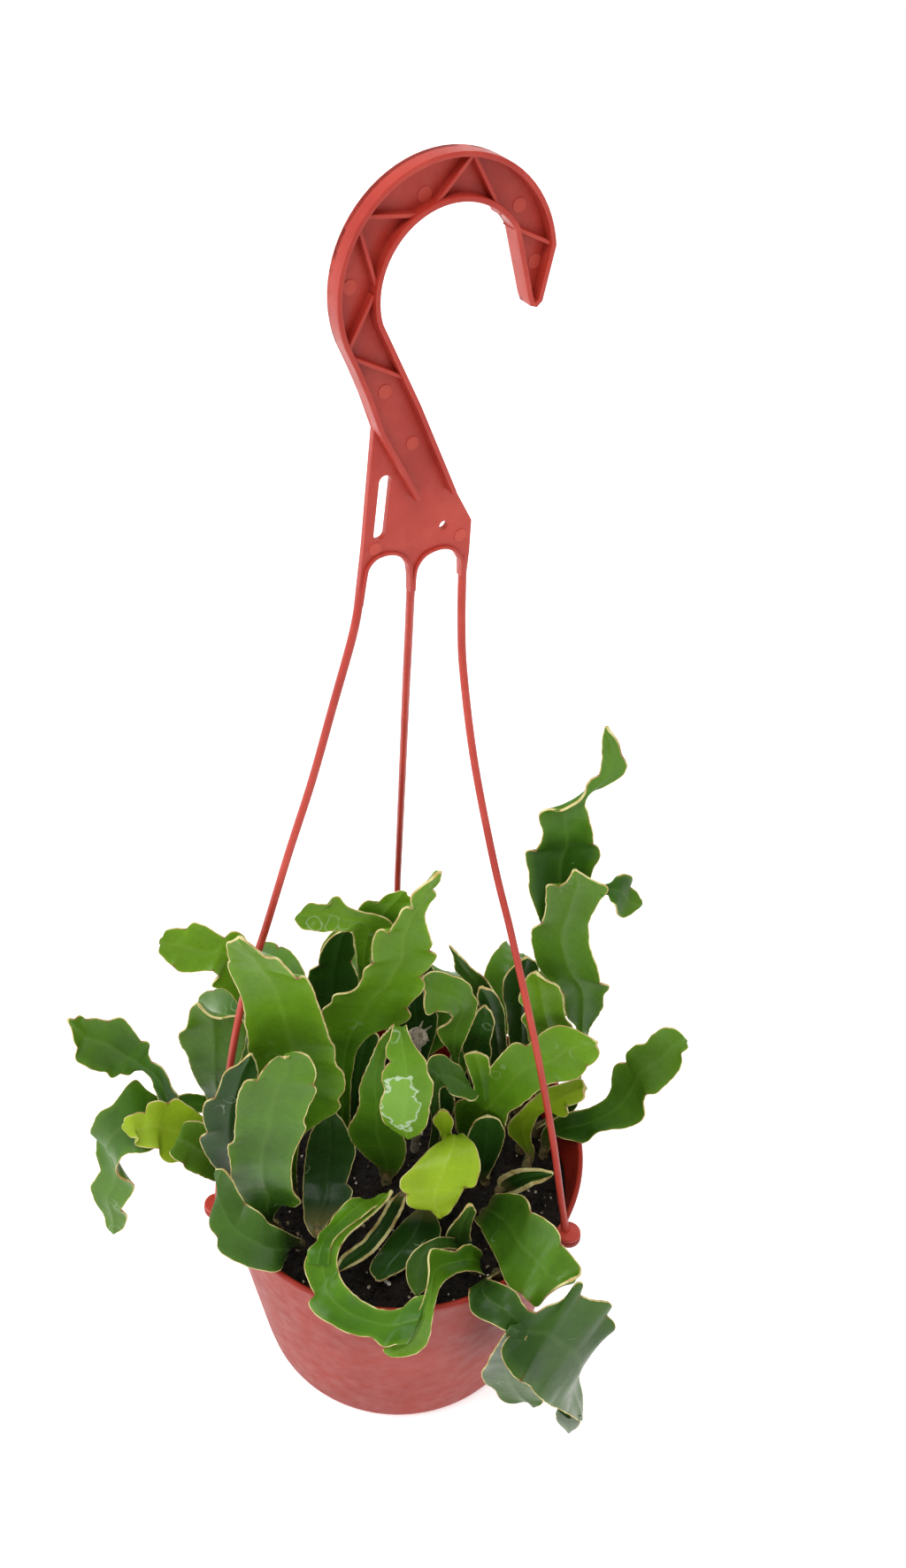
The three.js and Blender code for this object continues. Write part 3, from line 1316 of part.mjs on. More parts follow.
        spine: [
          [6, 36, 94, 2], [7, 39, 125, 5], [6, 42, 150, 10], [2, 46, 168, 12], [-5, 49, 182, 11],
          [-11, 51, 190, 5],
        ],
      },
    ],
  },
  {
    name: "stem_back_mid",
    tone: MID_GREEN,
    root: [0, 54],
    pads: [
      {
        lobes: 4, notch: 0.18,
        spine: [
          [0, 54, 94, 2], [9, 55, 114, 7], [16, 57, 130, 10.5], [19, 63, 140, 9.5], [20, 71, 141, 9],
          [21, 80, 132, 5],
        ],
      },
    ],
  },
  {
    name: "stem_back_right",
    tone: MID_GREEN,
    root: [22, 44],
    pads: [
      {
        lobes: 4, notch: 0.18,
        spine: [
          [22, 44, 94, 2], [28, 50, 114, 6], [39, 54, 132, 9.5], [44, 60, 146, 10.5], [47, 67, 153, 9],
          [49, 75, 151, 7], [50, 83, 141, 3],
        ],
      },
    ],
  },
  {
    name: "stem_back_far_right",
    tone: MID_GREEN,
    root: [32, 56],
    pads: [
      {
        lobes: 4, notch: 0.18,
        spine: [
          [32, 56, 94, 2], [41, 60, 118, 4], [53, 65, 128, 9], [63, 70, 130, 11], [72, 75, 122, 9],
          [79, 80, 108, 4],
        ],
      },
    ],
  },];

const plant = new THREE.Group();
plant.add(pot());
plant.add(soil([...STEMS.map(({ root }) => root), DRY_STUB[0]]));
plant.add(hanger());
plant.add(dryStub());
for (const entry of STEMS) {
  plant.add(stem(entry));
}

export default plant;
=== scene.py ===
# %% [markdown]
# # A curly leaf cactus in a hanging pot
# This lesson dresses a measured plastic-and-plant model for a studio picture. The measured
# model, called the frame, gives every size: the pot, the soil, the hanger and each stem of
# the plant. The lesson makes a finer piece around each of them. We work in metres, but the
# shapes are easier to think about in millimetres, so a small constant converts them.

import math
import random

import bmesh
import bpy
from mathutils import Matrix, Vector, noise


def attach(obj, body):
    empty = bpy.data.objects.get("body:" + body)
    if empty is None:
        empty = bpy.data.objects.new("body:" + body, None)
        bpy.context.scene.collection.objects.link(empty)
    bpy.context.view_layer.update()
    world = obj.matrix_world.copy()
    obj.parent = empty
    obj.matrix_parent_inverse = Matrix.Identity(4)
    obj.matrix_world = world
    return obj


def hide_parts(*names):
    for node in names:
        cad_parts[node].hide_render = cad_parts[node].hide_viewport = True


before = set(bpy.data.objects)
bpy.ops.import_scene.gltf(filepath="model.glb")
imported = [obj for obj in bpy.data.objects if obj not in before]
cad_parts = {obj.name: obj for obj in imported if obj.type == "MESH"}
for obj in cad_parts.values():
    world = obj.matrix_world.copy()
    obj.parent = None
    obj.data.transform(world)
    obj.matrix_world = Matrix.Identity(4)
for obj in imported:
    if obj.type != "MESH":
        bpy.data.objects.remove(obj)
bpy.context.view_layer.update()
MM = 0.001
print("frame pieces:", len(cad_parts))

# %% [markdown]
# ## The camera
# The picture was taken from above and in front, from about 0.6 m, so the pot tapers strongly
# towards its foot. A camera can be aimed with angles or with a target, but when its three
# axes are known it is surest to write them straight into its matrix. Ours came from a fit to
# the pot's rim and foot in the picture. Blender's camera looks along its own -Z, with +X to
# the right and +Y up in the picture.

# %% Camera
IMAGE_HEIGHT = 1773
FOCAL_PIXELS = 1700
SENSOR = 36
CAMERA_PLACE = Vector((0, -0.3801, 0.6359))
CAMERA_RIGHT = Vector((0.99943037, -0.02012489, 0.02709122))
CAMERA_UP = Vector((-0.00759875, 0.64793946, 0.76165394))

camera_data = bpy.data.cameras.new("camera")
camera_data.sensor_width = SENSOR
camera_data.lens = FOCAL_PIXELS * SENSOR / IMAGE_HEIGHT
camera_data.clip_start = 0.01
camera_data.clip_end = 50
camera = bpy.data.objects.new("camera", camera_data)
bpy.context.scene.collection.objects.link(camera)
axes = Matrix((CAMERA_RIGHT, CAMERA_UP, CAMERA_RIGHT.cross(CAMERA_UP))).transposed()
camera.matrix_world = Matrix.Translation(CAMERA_PLACE) @ axes.to_4x4()
bpy.context.scene.camera = camera
print("lens in mm:", round(camera_data.lens, 2))

# %% [markdown]
# ## The white studio
# The plant stands on a white sweep with hardly any shadow. That takes light from everywhere:
# a white sky, one large soft lamp above and in front for the gloss on the stems, and a
# weaker one on the left. A hard lamp would draw sharp shadows that the picture doesn't have.
# The paper glows a little, as a sheet lit from below does, so that it stays white without
# flooding the plant with light. The plain view transform keeps the colours saturated.

# %% Floor, sky and lamps
SKY_STRENGTH = 0.74
FLOOR_SIZE = 40
PAPER_GLOW = 0.46
WHITE = (1, 1, 1, 1)
# Places of the colour mix's share and two colours among its inputs, and of its result
MIX_INPUTS = (0, 6, 7)
MIX_OUTPUT = 2
# name, place, aimed at, size, power in watts
LAMPS = [
    ("lamp_top", (-0.25, -0.55, 1.7), (0, 0, 0.15), 0.9, 15.5),
    ("lamp_left", (-1.3, -0.2, 0.7), (0, 0, 0.2), 0.7, 6),
    ("lamp_back", (0.5, 1.1, 1.2), (0, 0, 0.2), 0.8, 6),
]


def colour(text):
    """Turns a web colour such as 7FA03C into the linear numbers that shaders use."""
    linear = []
    for start in (0, 2, 4):
        part = int(text[start:start + 2], 16) / 255
        linear.append(part / 12.92 if part <= 0.04045 else ((part + 0.055) / 1.055) ** 2.4)
    return (*linear, 1)


def give(tree, socket, value):
    """Links another node's socket to an input, or sets the input to a plain value."""
    if isinstance(value, bpy.types.NodeSocket):
        tree.links.new(value, socket)
    else:
        socket.default_value = value


def add_node(tree, kind, inputs=None, **settings):
    """Adds one shader node. Inputs are values, or sockets of other nodes to link."""
    made = tree.nodes.new(kind)
    for name, value in settings.items():
        setattr(made, name, value)
    for name, value in (inputs or {}).items():
        give(tree, made.inputs[name], value)
    return made


def new_material(name):
    """Returns an empty node material, its node tree and its principled shader."""
    made = bpy.data.materials.new(name)
    made.use_nodes = True
    return made, made.node_tree, made.node_tree.nodes["Principled BSDF"]


def place_noise(tree, scale, detail=3.0, roughness=0.55):
    """Noise fixed to the object's own place, so that it doesn't slide with the view."""
    place = add_node(tree, "ShaderNodeTexCoord").outputs["Object"]
    return add_node(tree, "ShaderNodeTexNoise", {
        "Vector": place, "Scale": scale, "Detail": detail, "Roughness": roughness,
    }).outputs["Fac"]


def stretched(tree, value, low, high, to_low=0.0, to_high=1.0):
    """Maps a range of a value to another range, and holds it at the ends."""
    return add_node(tree, "ShaderNodeMapRange", {
        "Value": value, "From Min": low, "From Max": high, "To Min": to_low, "To Max": to_high,
    }).outputs["Result"]


def mixed(tree, share, first, second):
    """Mixes two colours, given as web colours or as sockets."""
    made = add_node(tree, "ShaderNodeMix", data_type="RGBA")
    for socket, value in zip(MIX_INPUTS, (share, first, second)):
        give(tree, made.inputs[socket], colour(value) if isinstance(value, str) else value)
    return made.outputs[MIX_OUTPUT]


def calculated(tree, operation, first, second=0.0):
    """One arithmetic node, for places where two patterns meet."""
    made = add_node(tree, "ShaderNodeMath", operation=operation)
    for socket, value in zip(made.inputs, (first, second)):
        give(tree, socket, value)
    return made.outputs["Value"]


def bumped(tree, shader, height, strength, distance):
    """Roughens a surface with a height pattern."""
    normal = add_node(tree, "ShaderNodeBump", {
        "Height": height, "Strength": strength, "Distance": distance,
    }).outputs["Normal"]
    tree.links.new(normal, shader.inputs["Normal"])


def painted(tree, shader, body, roughness):
    """Gives a shader its colour and its roughness, each a socket or a plain value."""
    give(tree, shader.inputs["Base Color"], body)
    give(tree, shader.inputs["Roughness"], roughness)


def two_toned(tree, grain, span, first, second):
    """Two colours, mixed where a noise lies in the span. grain goes on to place_noise."""
    return mixed(tree, stretched(tree, place_noise(tree, *grain), *span), first, second)


def rough_material(name, grain, span, colours, roughness, bump_grain, strength, distance):
    """A dry material: two colours mixed by a noise, one roughness and a bumpy surface."""
    made, tree, shader = new_material(name)
    painted(tree, shader, two_toned(tree, grain, span, *colours), roughness)
    bumped(tree, shader, place_noise(tree, *bump_grain), strength, distance)
    return made


def white_floor():
    """A large sheet with a very slight mottle, as a paper sweep has."""
    made, tree, shader = new_material("white_paper")
    mottle = place_noise(tree, 9, 2)
    painted(tree, shader, mixed(tree, mottle, "F4F4F3", "FAFAFA"), 0.9)
    shader.inputs["Emission Color"].default_value = WHITE
    shader.inputs["Emission Strength"].default_value = PAPER_GLOW
    bumped(tree, shader, place_noise(tree, 900, 2), 0.03, 0.0005)
    half = FLOOR_SIZE / 2
    corners = [(-half, -half, 0), (half, -half, 0), (half, half, 0), (-half, half, 0)]
    mesh = bpy.data.meshes.new("paper_sweep")
    mesh.from_pydata(corners, [], [(0, 1, 2, 3)])
    mesh.materials.append(made)
    sheet = bpy.data.objects.new("paper_sweep", mesh)
    bpy.context.scene.collection.objects.link(sheet)
    return sheet


def soft_lamp(name, place, target, size, power):
    """A square area lamp, turned to face its target."""
    data = bpy.data.lights.new(name, "AREA")
    data.size = size
    data.energy = power
    lamp = bpy.data.objects.new(name, data)
    lamp.location = place
    away = Vector(place) - Vector(target)
    lamp.rotation_euler = away.to_track_quat("Z", "Y").to_euler()
    bpy.context.scene.collection.objects.link(lamp)


white_floor()
for lamp in LAMPS:
    soft_lamp(*lamp)
sky = bpy.data.worlds.new("white_sky")
sky.use_nodes = True
background = sky.node_tree.nodes["Background"]
background.inputs["Color"].default_value = WHITE
background.inputs["Strength"].default_value = SKY_STRENGTH
bpy.context.scene.world = sky
bpy.context.scene.view_settings.view_transform = "Standard"
print("lamps:", len(LAMPS))

# %% [markdown]
# ## Putting a finished piece in the scene
# Every piece we make rides on the model's one body, takes its materials, and hides the
# measured piece that it stands for. Doing that in one helper keeps it in one place, and
# nothing can be forgotten.

# %% Helper that sets a piece in place
def finished_piece(name, mesh, materials, stands_for):
    """Makes an object from a mesh, sets it on the root body, and hides the measured piece."""
    for material in materials:
        mesh.materials.append(material)
    made = bpy.data.objects.new(name, mesh)
    bpy.context.scene.collection.objects.link(made)
    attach(made, "root")
    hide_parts(stands_for)
    return made


def mesh_of(name, points, faces):
    """A smooth mesh from points in millimetres."""
    mesh = bpy.data.meshes.new(name)
    mesh.from_pydata([tuple(c * MM for c in point) for point in points], [], faces)
    mesh.update()
    mesh.shade_smooth()
    return mesh


def turn_angles(sides):
    """Even angles once round."""
    return [2 * math.pi * side / sides for side in range(sides)]


def band(low, high, sides):
    """Faces between two rings, given by the number of each ring's first point."""
    return [(low + side, low + (side + 1) % sides, high + (side + 1) % sides, high + side)
            for side in range(sides)]


def along_path(path, index):
    """The direction of a path of vectors at one of its points."""
    return (path[min(index + 1, len(path) - 1)] - path[max(index - 1, 0)]).normalized()


def lathe(profile, sides, ripple=None):
    """Turns a closed profile of (radius, height) about the Z axis. The first and last
    points lie on the axis. ripple(angle, radius, height) may move a point."""
    points = [(0, 0, profile[0][1])]
    for radius, height in profile[1:-1]:
        for angle in turn_angles(sides):
            r, z = ripple(angle, radius, height) if ripple else (radius, height)
            points.append((r * math.cos(angle), r * math.sin(angle), z))
    points.append((0, 0, profile[-1][1]))
    rings = len(profile) - 2
    faces = []
    for side in range(sides):
        after = (side + 1) % sides
        faces.append((0, 1 + after, 1 + side))
        for ring in range(rings - 1):
            low, high = 1 + ring * sides, 1 + (ring + 1) * sides
            faces.append((low + side, low + after, high + after, high + side))
        last = 1 + (rings - 1) * sides
        faces.append((last + side, last + after, len(points) - 1))
    return points, faces


# %% [markdown]
# ## The pot
# The pot is blow-thin plastic, one wall turned about an axis. A lathe profile is the natural
# way to make it. The rim has a small round edge, the inner wall goes down behind the soil,
# and the foot has low arches where water runs out. We raise the foot's points in those
# places instead of cutting them, which leaves clean faces. Three small ears under the rim
# take the pegs of the hanger.

# %% Pot
POT_HEIGHT = 115
RIM_RADIUS = 76
BASE_RADIUS = 60.6
WALL = 2.2
FLOOR = 3.5
BASE_CORNER = 8
POT_SIDES = 192
ARCH_ANGLES = [-135, -105, -45, -15, 45, 75, 135, 165]
ARCH_WIDTH = 8
ARCH_HEIGHT = 2
EAR_ANGLES = [201.5, 327.5, 90]
EAR_WIDTH = 10
EAR_THICK = 2.4
PEG_CIRCLE = 79
PEG_RADIUS = 1.5
FIT_GAP = 0.3
CORNER_FLARE = 0.8
CORNER_STEPS = 10
RIM_STEPS = 8
WALL_STEP = 10
WALL_START = 15
RIM_OUTSIDE = 4
RIM_INSIDE = 6
ARCH_REACH = 1.15
ARCH_SLOPE = 0.25
EAR_EDGE = 0.3


def wall_radius(z):
    """Outer radius of the pot's wall at a height."""
    return BASE_RADIUS + (RIM_RADIUS - BASE_RADIUS) * z / POT_HEIGHT


def round_corner(centre, radius, first, last, steps):
    """Points on an arc, as (radius, height) pairs."""
    points = []
    for step in range(steps + 1):
        angle = math.radians(first + (last - first) * step / steps)
        points.append((centre[0] + radius * math.cos(angle),
                       centre[1] + radius * math.sin(angle)))
    return points


def pot_profile():
    """Underside, foot, wall, round rim, and the inner wall down to the inner floor."""
    foot = BASE_RADIUS - BASE_CORNER
    profile = [(0, 0), (foot * 0.5, 0)]
    corner = round_corner((foot, BASE_CORNER), BASE_CORNER, -90, 0, CORNER_STEPS)
    profile += [(r + CORNER_FLARE * max(z, 0) / BASE_CORNER, z) for r, z in corner]
    for z in [*range(WALL_START, POT_HEIGHT - RIM_OUTSIDE, WALL_STEP), POT_HEIGHT - RIM_OUTSIDE]:
        profile.append((wall_radius(z), z))
    edge = WALL / 2
    profile += round_corner((RIM_RADIUS - edge, POT_HEIGHT - edge), edge, 0, 180, RIM_STEPS)
    for z in range(POT_HEIGHT - RIM_INSIDE, WALL_START, -WALL_STEP):
        profile.append((wall_radius(z) - WALL, z))
    profile += [(wall_radius(BASE_CORNER) - WALL, BASE_CORNER), (foot, FLOOR), (0, FLOOR)]
    return profile


def foot_arch(angle, radius, height):
    """Lifts the foot's rounding where a drain arch is."""
    if height > 2 * ARCH_HEIGHT or radius < BASE_RADIUS - BASE_CORNER:
        return radius, height
    for arch in ARCH_ANGLES:
        off = abs((math.degrees(angle) - arch + 180) % 360 - 180)
        across = math.radians(off) * BASE_RADIUS / (ARCH_WIDTH / 2)
        if across < ARCH_REACH:
            lift = ARCH_HEIGHT * min(1, (ARCH_REACH - across) / ARCH_SLOPE)
            return radius, max(height, lift)
    return radius, height


def flat_moulding(outlines, thickness, edge, place):
    """A flat moulded shape with rounded edges. Blender's 2D curves fill an outline with its
    holes, thicken it and round its edges in one go, so each outline is a curve."""
    data = bpy.data.curves.new("outline", "CURVE")
    data.dimensions = "2D"
    data.fill_mode = "BOTH"
    data.extrude = (thickness / 2 - edge) * MM
    data.bevel_depth = edge * MM
    data.bevel_resolution = 1
    data.offset = -edge * MM
    for outline in outlines:
        spline = data.splines.new("POLY")
        spline.points.add(len(outline) - 1)
        spline.use_cyclic_u = True
        for point, (u, v) in zip(spline.points, outline):
            point.co = (u * MM, v * MM, 0, 1)
    made = bpy.data.objects.new("outline", data)
    bpy.context.scene.collection.objects.link(made)
    graph = bpy.context.evaluated_depsgraph_get()
    mesh = bpy.data.meshes.new_from_object(made.evaluated_get(graph))
    mesh.transform(place)
    bpy.data.objects.remove(made)
    bpy.data.curves.remove(data)
    return mesh


def circle(centre, radius, sides):
    """Points round a circle."""
    return round_corner(centre, radius, 0, 360 * (1 - 1 / sides), sides - 1)


def ear(angle):
    """One ear: a tab with a round nose and a hole for the peg."""
    inner = RIM_RADIUS - WALL / 2
    half = EAR_WIDTH / 2
    nose = round_corner((PEG_CIRCLE, 0), half, -90, 90, 12)
    outline = [(inner, -half), *nose, (inner, half)]
    hole = circle((PEG_CIRCLE, 0), PEG_RADIUS + FIT_GAP, 20)
    place = Matrix.Rotation(math.radians(angle), 4, "Z") @ Matrix.Translation(
        (0, 0, (POT_HEIGHT - EAR_THICK / 2) * MM))
    return flat_moulding([outline, hole], EAR_THICK, EAR_EDGE, place)


def joined_mesh(name, meshes, flat_angle=35):
    """Joins meshes in one, welds doubled points, and keeps folds above an angle sharp."""
    whole = bmesh.new()
    for mesh in meshes:
        whole.from_mesh(mesh)
    bmesh.ops.remove_doubles(whole, verts=whole.verts, dist=0.00001)
    bmesh.ops.recalc_face_normals(whole, faces=whole.faces)
    made = bpy.data.meshes.new(name)
    whole.to_mesh(made)
    whole.free()
    made.shade_smooth()
    made.set_sharp_from_angle(angle=math.radians(flat_angle))
    return made


def moulded_plastic(name, base, light, dark, roughness, scuff):
    """Coloured plastic: the colour swims a little, as it does in recycled granulate, the
    gloss is uneven, and handling has left small pale scuffs."""
    made, tree, shader = new_material(name)
    body = two_toned(tree, (26, 4), (0.35, 0.65), dark, base)
    haze = stretched(tree, place_noise(tree, 90, 5, 0.7), 0.5, 0.8, 0, 0.35)
    body = mixed(tree, haze, body, light)
    marks = stretched(tree, place_noise(tree, 420, 6, 0.8), 0.64, 0.74, 0, scuff)
    body = mixed(tree, marks, body, "E9B7A6")
    gloss = stretched(tree, place_noise(tree, 150, 4), 0.3, 0.7, roughness - 0.06, roughness + 0.1)
    painted(tree, shader, body, gloss)
    shader.inputs["Specular IOR Level"].default_value = 0.28
    bumped(tree, shader, place_noise(tree, 1100, 3), 0.12, 0.0003)
    return made


pot_plastic = moulded_plastic("pot_plastic", "932413", "A23323", "861E0F", 0.5, 0.05)
points, faces = lathe(pot_profile(), POT_SIDES, foot_arch)
pot_mesh = joined_mesh("pot", [mesh_of("pot_wall", points, faces), *map(ear, EAR_ANGLES)], 40)
finished_piece("nursery_pot", pot_mesh, [pot_plastic], "pot")
print("pot faces:", len(pot_mesh.polygons))

# %% [markdown]
# ## The soil
# Damp peat is nearly black, with crumbs and a few pale chips. A flat disc would look like
# paint, so the surface is a fine disc whose points are raised by noise, and the crumbs on it
# are real little lumps: each is a ball of twenty faces, squeezed and turned at random. The
# random numbers start from a fixed seed, so that every run gives the same soil.

# %% Soil
SOIL_TOP = 92
SOIL_LOW = 40
SOIL_RINGS = 56
SOIL_SIDES = 200
CRUMBS = 1500
CHIPS = 260
CRUMB_REACH = 69
SOIL_SEED = 17
# width and height of the soil's lumps and of its crumbs, in millimetres
LUMP_WIDTH, LUMP_HEIGHT = 13, 0.9
CRUMB_WIDTH, CRUMB_HEIGHT = 3.1, 0.75
# the soil falls off near the wall: radius, the share of it where the fall starts, and slope
FALL_RADIUS, FALL_START, FALL_SLOPE = 70, 0.75, 6


def soil_height(x, y):
    """Height of the soil: lumps of about a centimetre, with crumbs on them."""
    place = Vector((x, y, 0))
    lumps = noise.fractal(place / LUMP_WIDTH, 1.0, 2.0, 3)
    crumbs = noise.fractal(place / CRUMB_WIDTH + Vector((7, 3, 1)), 0.8, 2.1, 3)
    fall = max(0, math.hypot(x, y) / FALL_RADIUS - FALL_START) * FALL_SLOPE
    return SOIL_TOP + LUMP_HEIGHT * lumps + CRUMB_HEIGHT * crumbs - fall


def soil_bed():
    """A closed disc: a raised top, a side and a flat underside."""
    edge, low_edge = (wall_radius(z) - WALL - FIT_GAP for z in (SOIL_TOP, SOIL_LOW))
    angles = turn_angles(SOIL_SIDES)
    points = [(0, 0, soil_height(0, 0))]
    for ring in range(1, SOIL_RINGS + 1):
        radius = edge * ring / SOIL_RINGS
        for angle in angles:
            x, y = radius * math.cos(angle), radius * math.sin(angle)
            points.append((x, y, soil_height(x, y)))
    for angle in angles:
        points.append((low_edge * math.cos(angle), low_edge * math.sin(angle), SOIL_LOW))
    points.append((0, 0, SOIL_LOW))
    faces = []
    last = 1 + SOIL_RINGS * SOIL_SIDES
    for side in range(SOIL_SIDES):
        after = (side + 1) % SOIL_SIDES
        faces.append((0, 1 + side, 1 + after))
        for inner in range(1, last, SOIL_SIDES):
            outer = inner + SOIL_SIDES
            faces.append((inner + side, outer + side, outer + after, inner + after))
        faces.append((last + after, last + side, len(points) - 1))
    return mesh_of("soil_bed", points, faces)


def lump(whole, place, size, index, draw):
    """Adds one squeezed and turned crumb."""
    squeeze = Matrix.Diagonal((*(size * draw.uniform(0.55, 1.2) * MM for _ in range(3)), 1))
    turn = Matrix.Rotation(draw.uniform(0, 6.28), 4, Vector(
        (draw.uniform(-1, 1), draw.uniform(-1, 1), 1)).normalized())
    made = bmesh.ops.create_icosphere(
        whole, subdivisions=1, radius=1, matrix=Matrix.Translation(place) @ turn @ squeeze)
    for vert in made["verts"]:
        for face in vert.link_faces:
            face.material_index = index


def soil_mesh():
    """The bed with its crumbs and chips in one mesh."""
    draw = random.Random(SOIL_SEED)
    whole = bmesh.new()
    whole.from_mesh(soil_bed())
    for number in range(CRUMBS + CHIPS):
        radius = CRUMB_REACH * math.sqrt(draw.random())
        angle = draw.uniform(0, 2 * math.pi)
        x, y = radius * math.cos(angle), radius * math.sin(angle)
        pale = number >= CRUMBS
        size = draw.uniform(0.4, 1.1) if pale else draw.uniform(0.5, 1.5)
        place = Vector((x, y, soil_height(x, y) + 0.2)) * MM
        lump(whole, place, size, 1 if pale else 0, draw)
    made = bpy.data.meshes.new("soil")
    whole.to_mesh(made)
    whole.free()
    return made


def peat():
    """Peat: black-brown, with redder fibres, slightly wet in its hollows."""
    made, tree, shader = new_material("peat")
    body = two_toned(tree, (260, 6, 0.7), (0.35, 0.65), "070605", "211A14")
    fibre = stretched(tree, place_noise(tree, 700, 4, 0.7), 0.6, 0.7, 0, 0.55)
    body = mixed(tree, fibre, body, "5A4330")
    wet = stretched(tree, place_noise(tree, 90, 3), 0.4, 0.6, 0.5, 0.95)
    painted(tree, shader, body, wet)
    shader.inputs["Specular IOR Level"].default_value = 0.2
    bumped(tree, shader, place_noise(tree, 900, 6, 0.7), 0.7, 0.0008)
    return made


def chip():
    """Pale chips of bark and stone in the peat."""
    return rough_material("pale_chip", (140, 2), (0.42, 0.6), ("7A6A50", "E0D9CA"), 0.85,
                          (1500, 5), 0.6, 0.0005)


soil = finished_piece("peat_soil", soil_mesh(), [peat(), chip()], "soil")
print("soil faces:", len(soil.data.polygons))

# %% [markdown]
# ## The hanger
# The hanger is one moulding: a hook and a neck like a shallow channel, stiffened by zigzag
# ribs, a thin foot plate with two arches, and three thin arms that end in clips. A channel
# could be hollowed out with boolean cuts. Here it is built up the way its mould is drawn:
# a thin web at the back, a wall that follows the outline, and ribs laid on the web. Each
# part is a flat outline with rounded edges, and all are joined in one mesh. Most points of
# the outline were read off the picture and turned into millimetres in the moulding's plane.

# %% Outline of the moulding
MOULDING_TURN = 30
MOULDING_X = 2.5
MOULDING_DEPTH = 6
WEB_THICK = 2.2
FLANGE_WIDTH = 1.6
RIB_WIDTH = 1.1
HOOK_OUTER = ((8.5, 481.8), 33.3)
HOOK_INNER = ((9.7, 480.5), 21.9)
LEFT_SIDE = [(-16.3, 406.6), (-12.6, 443.8), (-16.4, 455.1), (-19.7, 463.4)]
RIGHT_SIDE = [(-7.7, 466.7), (-4.1, 458.9), (0.2, 449.6), (14.2, 418.5), (20.3, 406.6)]
HOOK_TIP = [(38.1, 471.6), (36.3, 470.1), (34.3, 470.8), (33.4, 473)]
FOOT = [
    (20, 396.3), (19.3, 388), (16.8, 388), (16.6, 393.4), (14.6, 397.1), (11.8, 399.2),
    (8.4, 399.8), (4.4, 398.9), (2, 396.2), (1.2, 392.8), (1, 388), (-1, 388),
    (-1.1, 393.5), (-1.6, 397.3), (-3.7, 400.7), (-7.3, 402.8), (-11.7, 402.8),
    (-14.3, 400.8), (-15.3, 397.8), (-16.9, 388), (-18.7, 388),
]
RIGHT_ARCH = FOOT[2:11]
LEFT_ARCH = FOOT[11:20]
LEFT_FLANGE_FOOT = (-0.7, 420)
RIGHT_FLANGE_FOOT = (12.5, 420)
SLOT_TOP = (-9, 426.9)
SLOT_BOTTOM = (-10.9, 410.5)
SLOT_RADIUS = 1.9
SLOT_LEAN = -6
PLATE_HOLE = (10.6, 407.4)
PLATE_HOLE_RADIUS = 1.4
PIN_RADIUS = 2.1
PIN_RISE = 0.2
ARCH_RIM_WIDTH = 1.1
ARCH_RIM_RISE = 0.4
RIB_DROP = 0.5
RIBS = [
    [(27.8, 493), (41.2, 486.2)], [(24.2, 497), (15, 513.4)], [(3, 501.4), (15, 513.4)],
    [(-0.4, 500.6), (-16, 502.8)], [(-13, 485), (-17.6, 500.2)], [(-13.6, 482.6), (-20.8, 470)],
    [(-19.6, 466.6), (-4.6, 458.2)], [(-12.6, 446.2), (1.2, 420)],
]
PIN_MARKS = [(2.4, 504.6), (31.1, 497.4), (37, 481.6), (-19.3, 484.8), (-9.1, 454.2),
             (-0.4, 436.8), (-12.5, 406.1), (16.4, 402.5)]


def round_the_hook():
    """The outer arc to the hook's tip, and the inner arc back."""
    outer = round_corner(*HOOK_OUTER, 200, 8, 40)
    inner = round_corner(*HOOK_INNER, 33, 195, 34)
    return [*outer, *HOOK_TIP, *inner]


def hook_outline():
    """The whole flat outline: up the left side, round the hook, and down to the foot."""
    return [*LEFT_SIDE, *round_the_hook(), *RIGHT_SIDE, *FOOT]


def wall_path():
    """The line of the channel's wall, which ends on the plate above the two arches."""
    return [LEFT_FLANGE_FOOT, *LEFT_SIDE[1:], *round_the_hook(), *RIGHT_SIDE[:3],
            RIGHT_FLANGE_FOOT]


def strip(path, width, side=0.0):
    """A band along an open path. side 0 keeps it centred, and 1 puts it right of the path."""
    left, right = [], []
    for index, point in enumerate(path):
        before = path[max(index - 1, 0)]
        after = path[min(index + 1, len(path) - 1)]
        along = Vector((after[0] - before[0], after[1] - before[1])).normalized()
        across = Vector((along.y, -along.x)) * width
        centre = Vector(point) + across * 0.5 * side
        left.append(tuple(centre - across / 2))
        right.append(tuple(centre + across / 2))
    return left + right[::-1]


def eased(path, steps=4):
    """Rounds a path with a Catmull-Rom curve through its points."""
    ends = [path[0], *path, path[-1]]
    rounded = []
    for p0, p1, p2, p3 in zip(ends, ends[1:], ends[2:], ends[3:]):
        for step in range(steps):
            t = step / steps
            rounded.append(tuple(
                0.5 * (2 * b + (c - a) * t + (2 * a - 5 * b + 4 * c - d) * t * t
                       + (3 * b - a - 3 * c + d) * t ** 3)
                for a, b, c, d in zip(p0, p1, p2, p3)))
    return [*rounded, tuple(path[-1])]


def upright_place(depth):
    """Stands a flat shape up in the moulding's plane, its middle at a depth in front."""
    turn = math.radians(MOULDING_TURN)
    u = Vector((math.cos(turn), math.sin(turn), 0))
    front = Vector((math.sin(turn), -math.cos(turn), 0))
    place = Matrix((u, Vector((0, 0, 1)), front)).transposed().to_4x4()
    return Matrix.Translation(Vector((MOULDING_X * MM, 0, 0)) + front * depth * MM) @ place


print("outline points of the hook:", len(hook_outline()))

# %% [markdown]
# ### Web, walls, ribs and plate
# The web and the plate lie at the back of the channel, so their middles are pushed back by
# half the channel's depth. The walls take the full depth and catch the light on their
# rounded edges. The small round marks are where the mould's pins pushed the piece out.

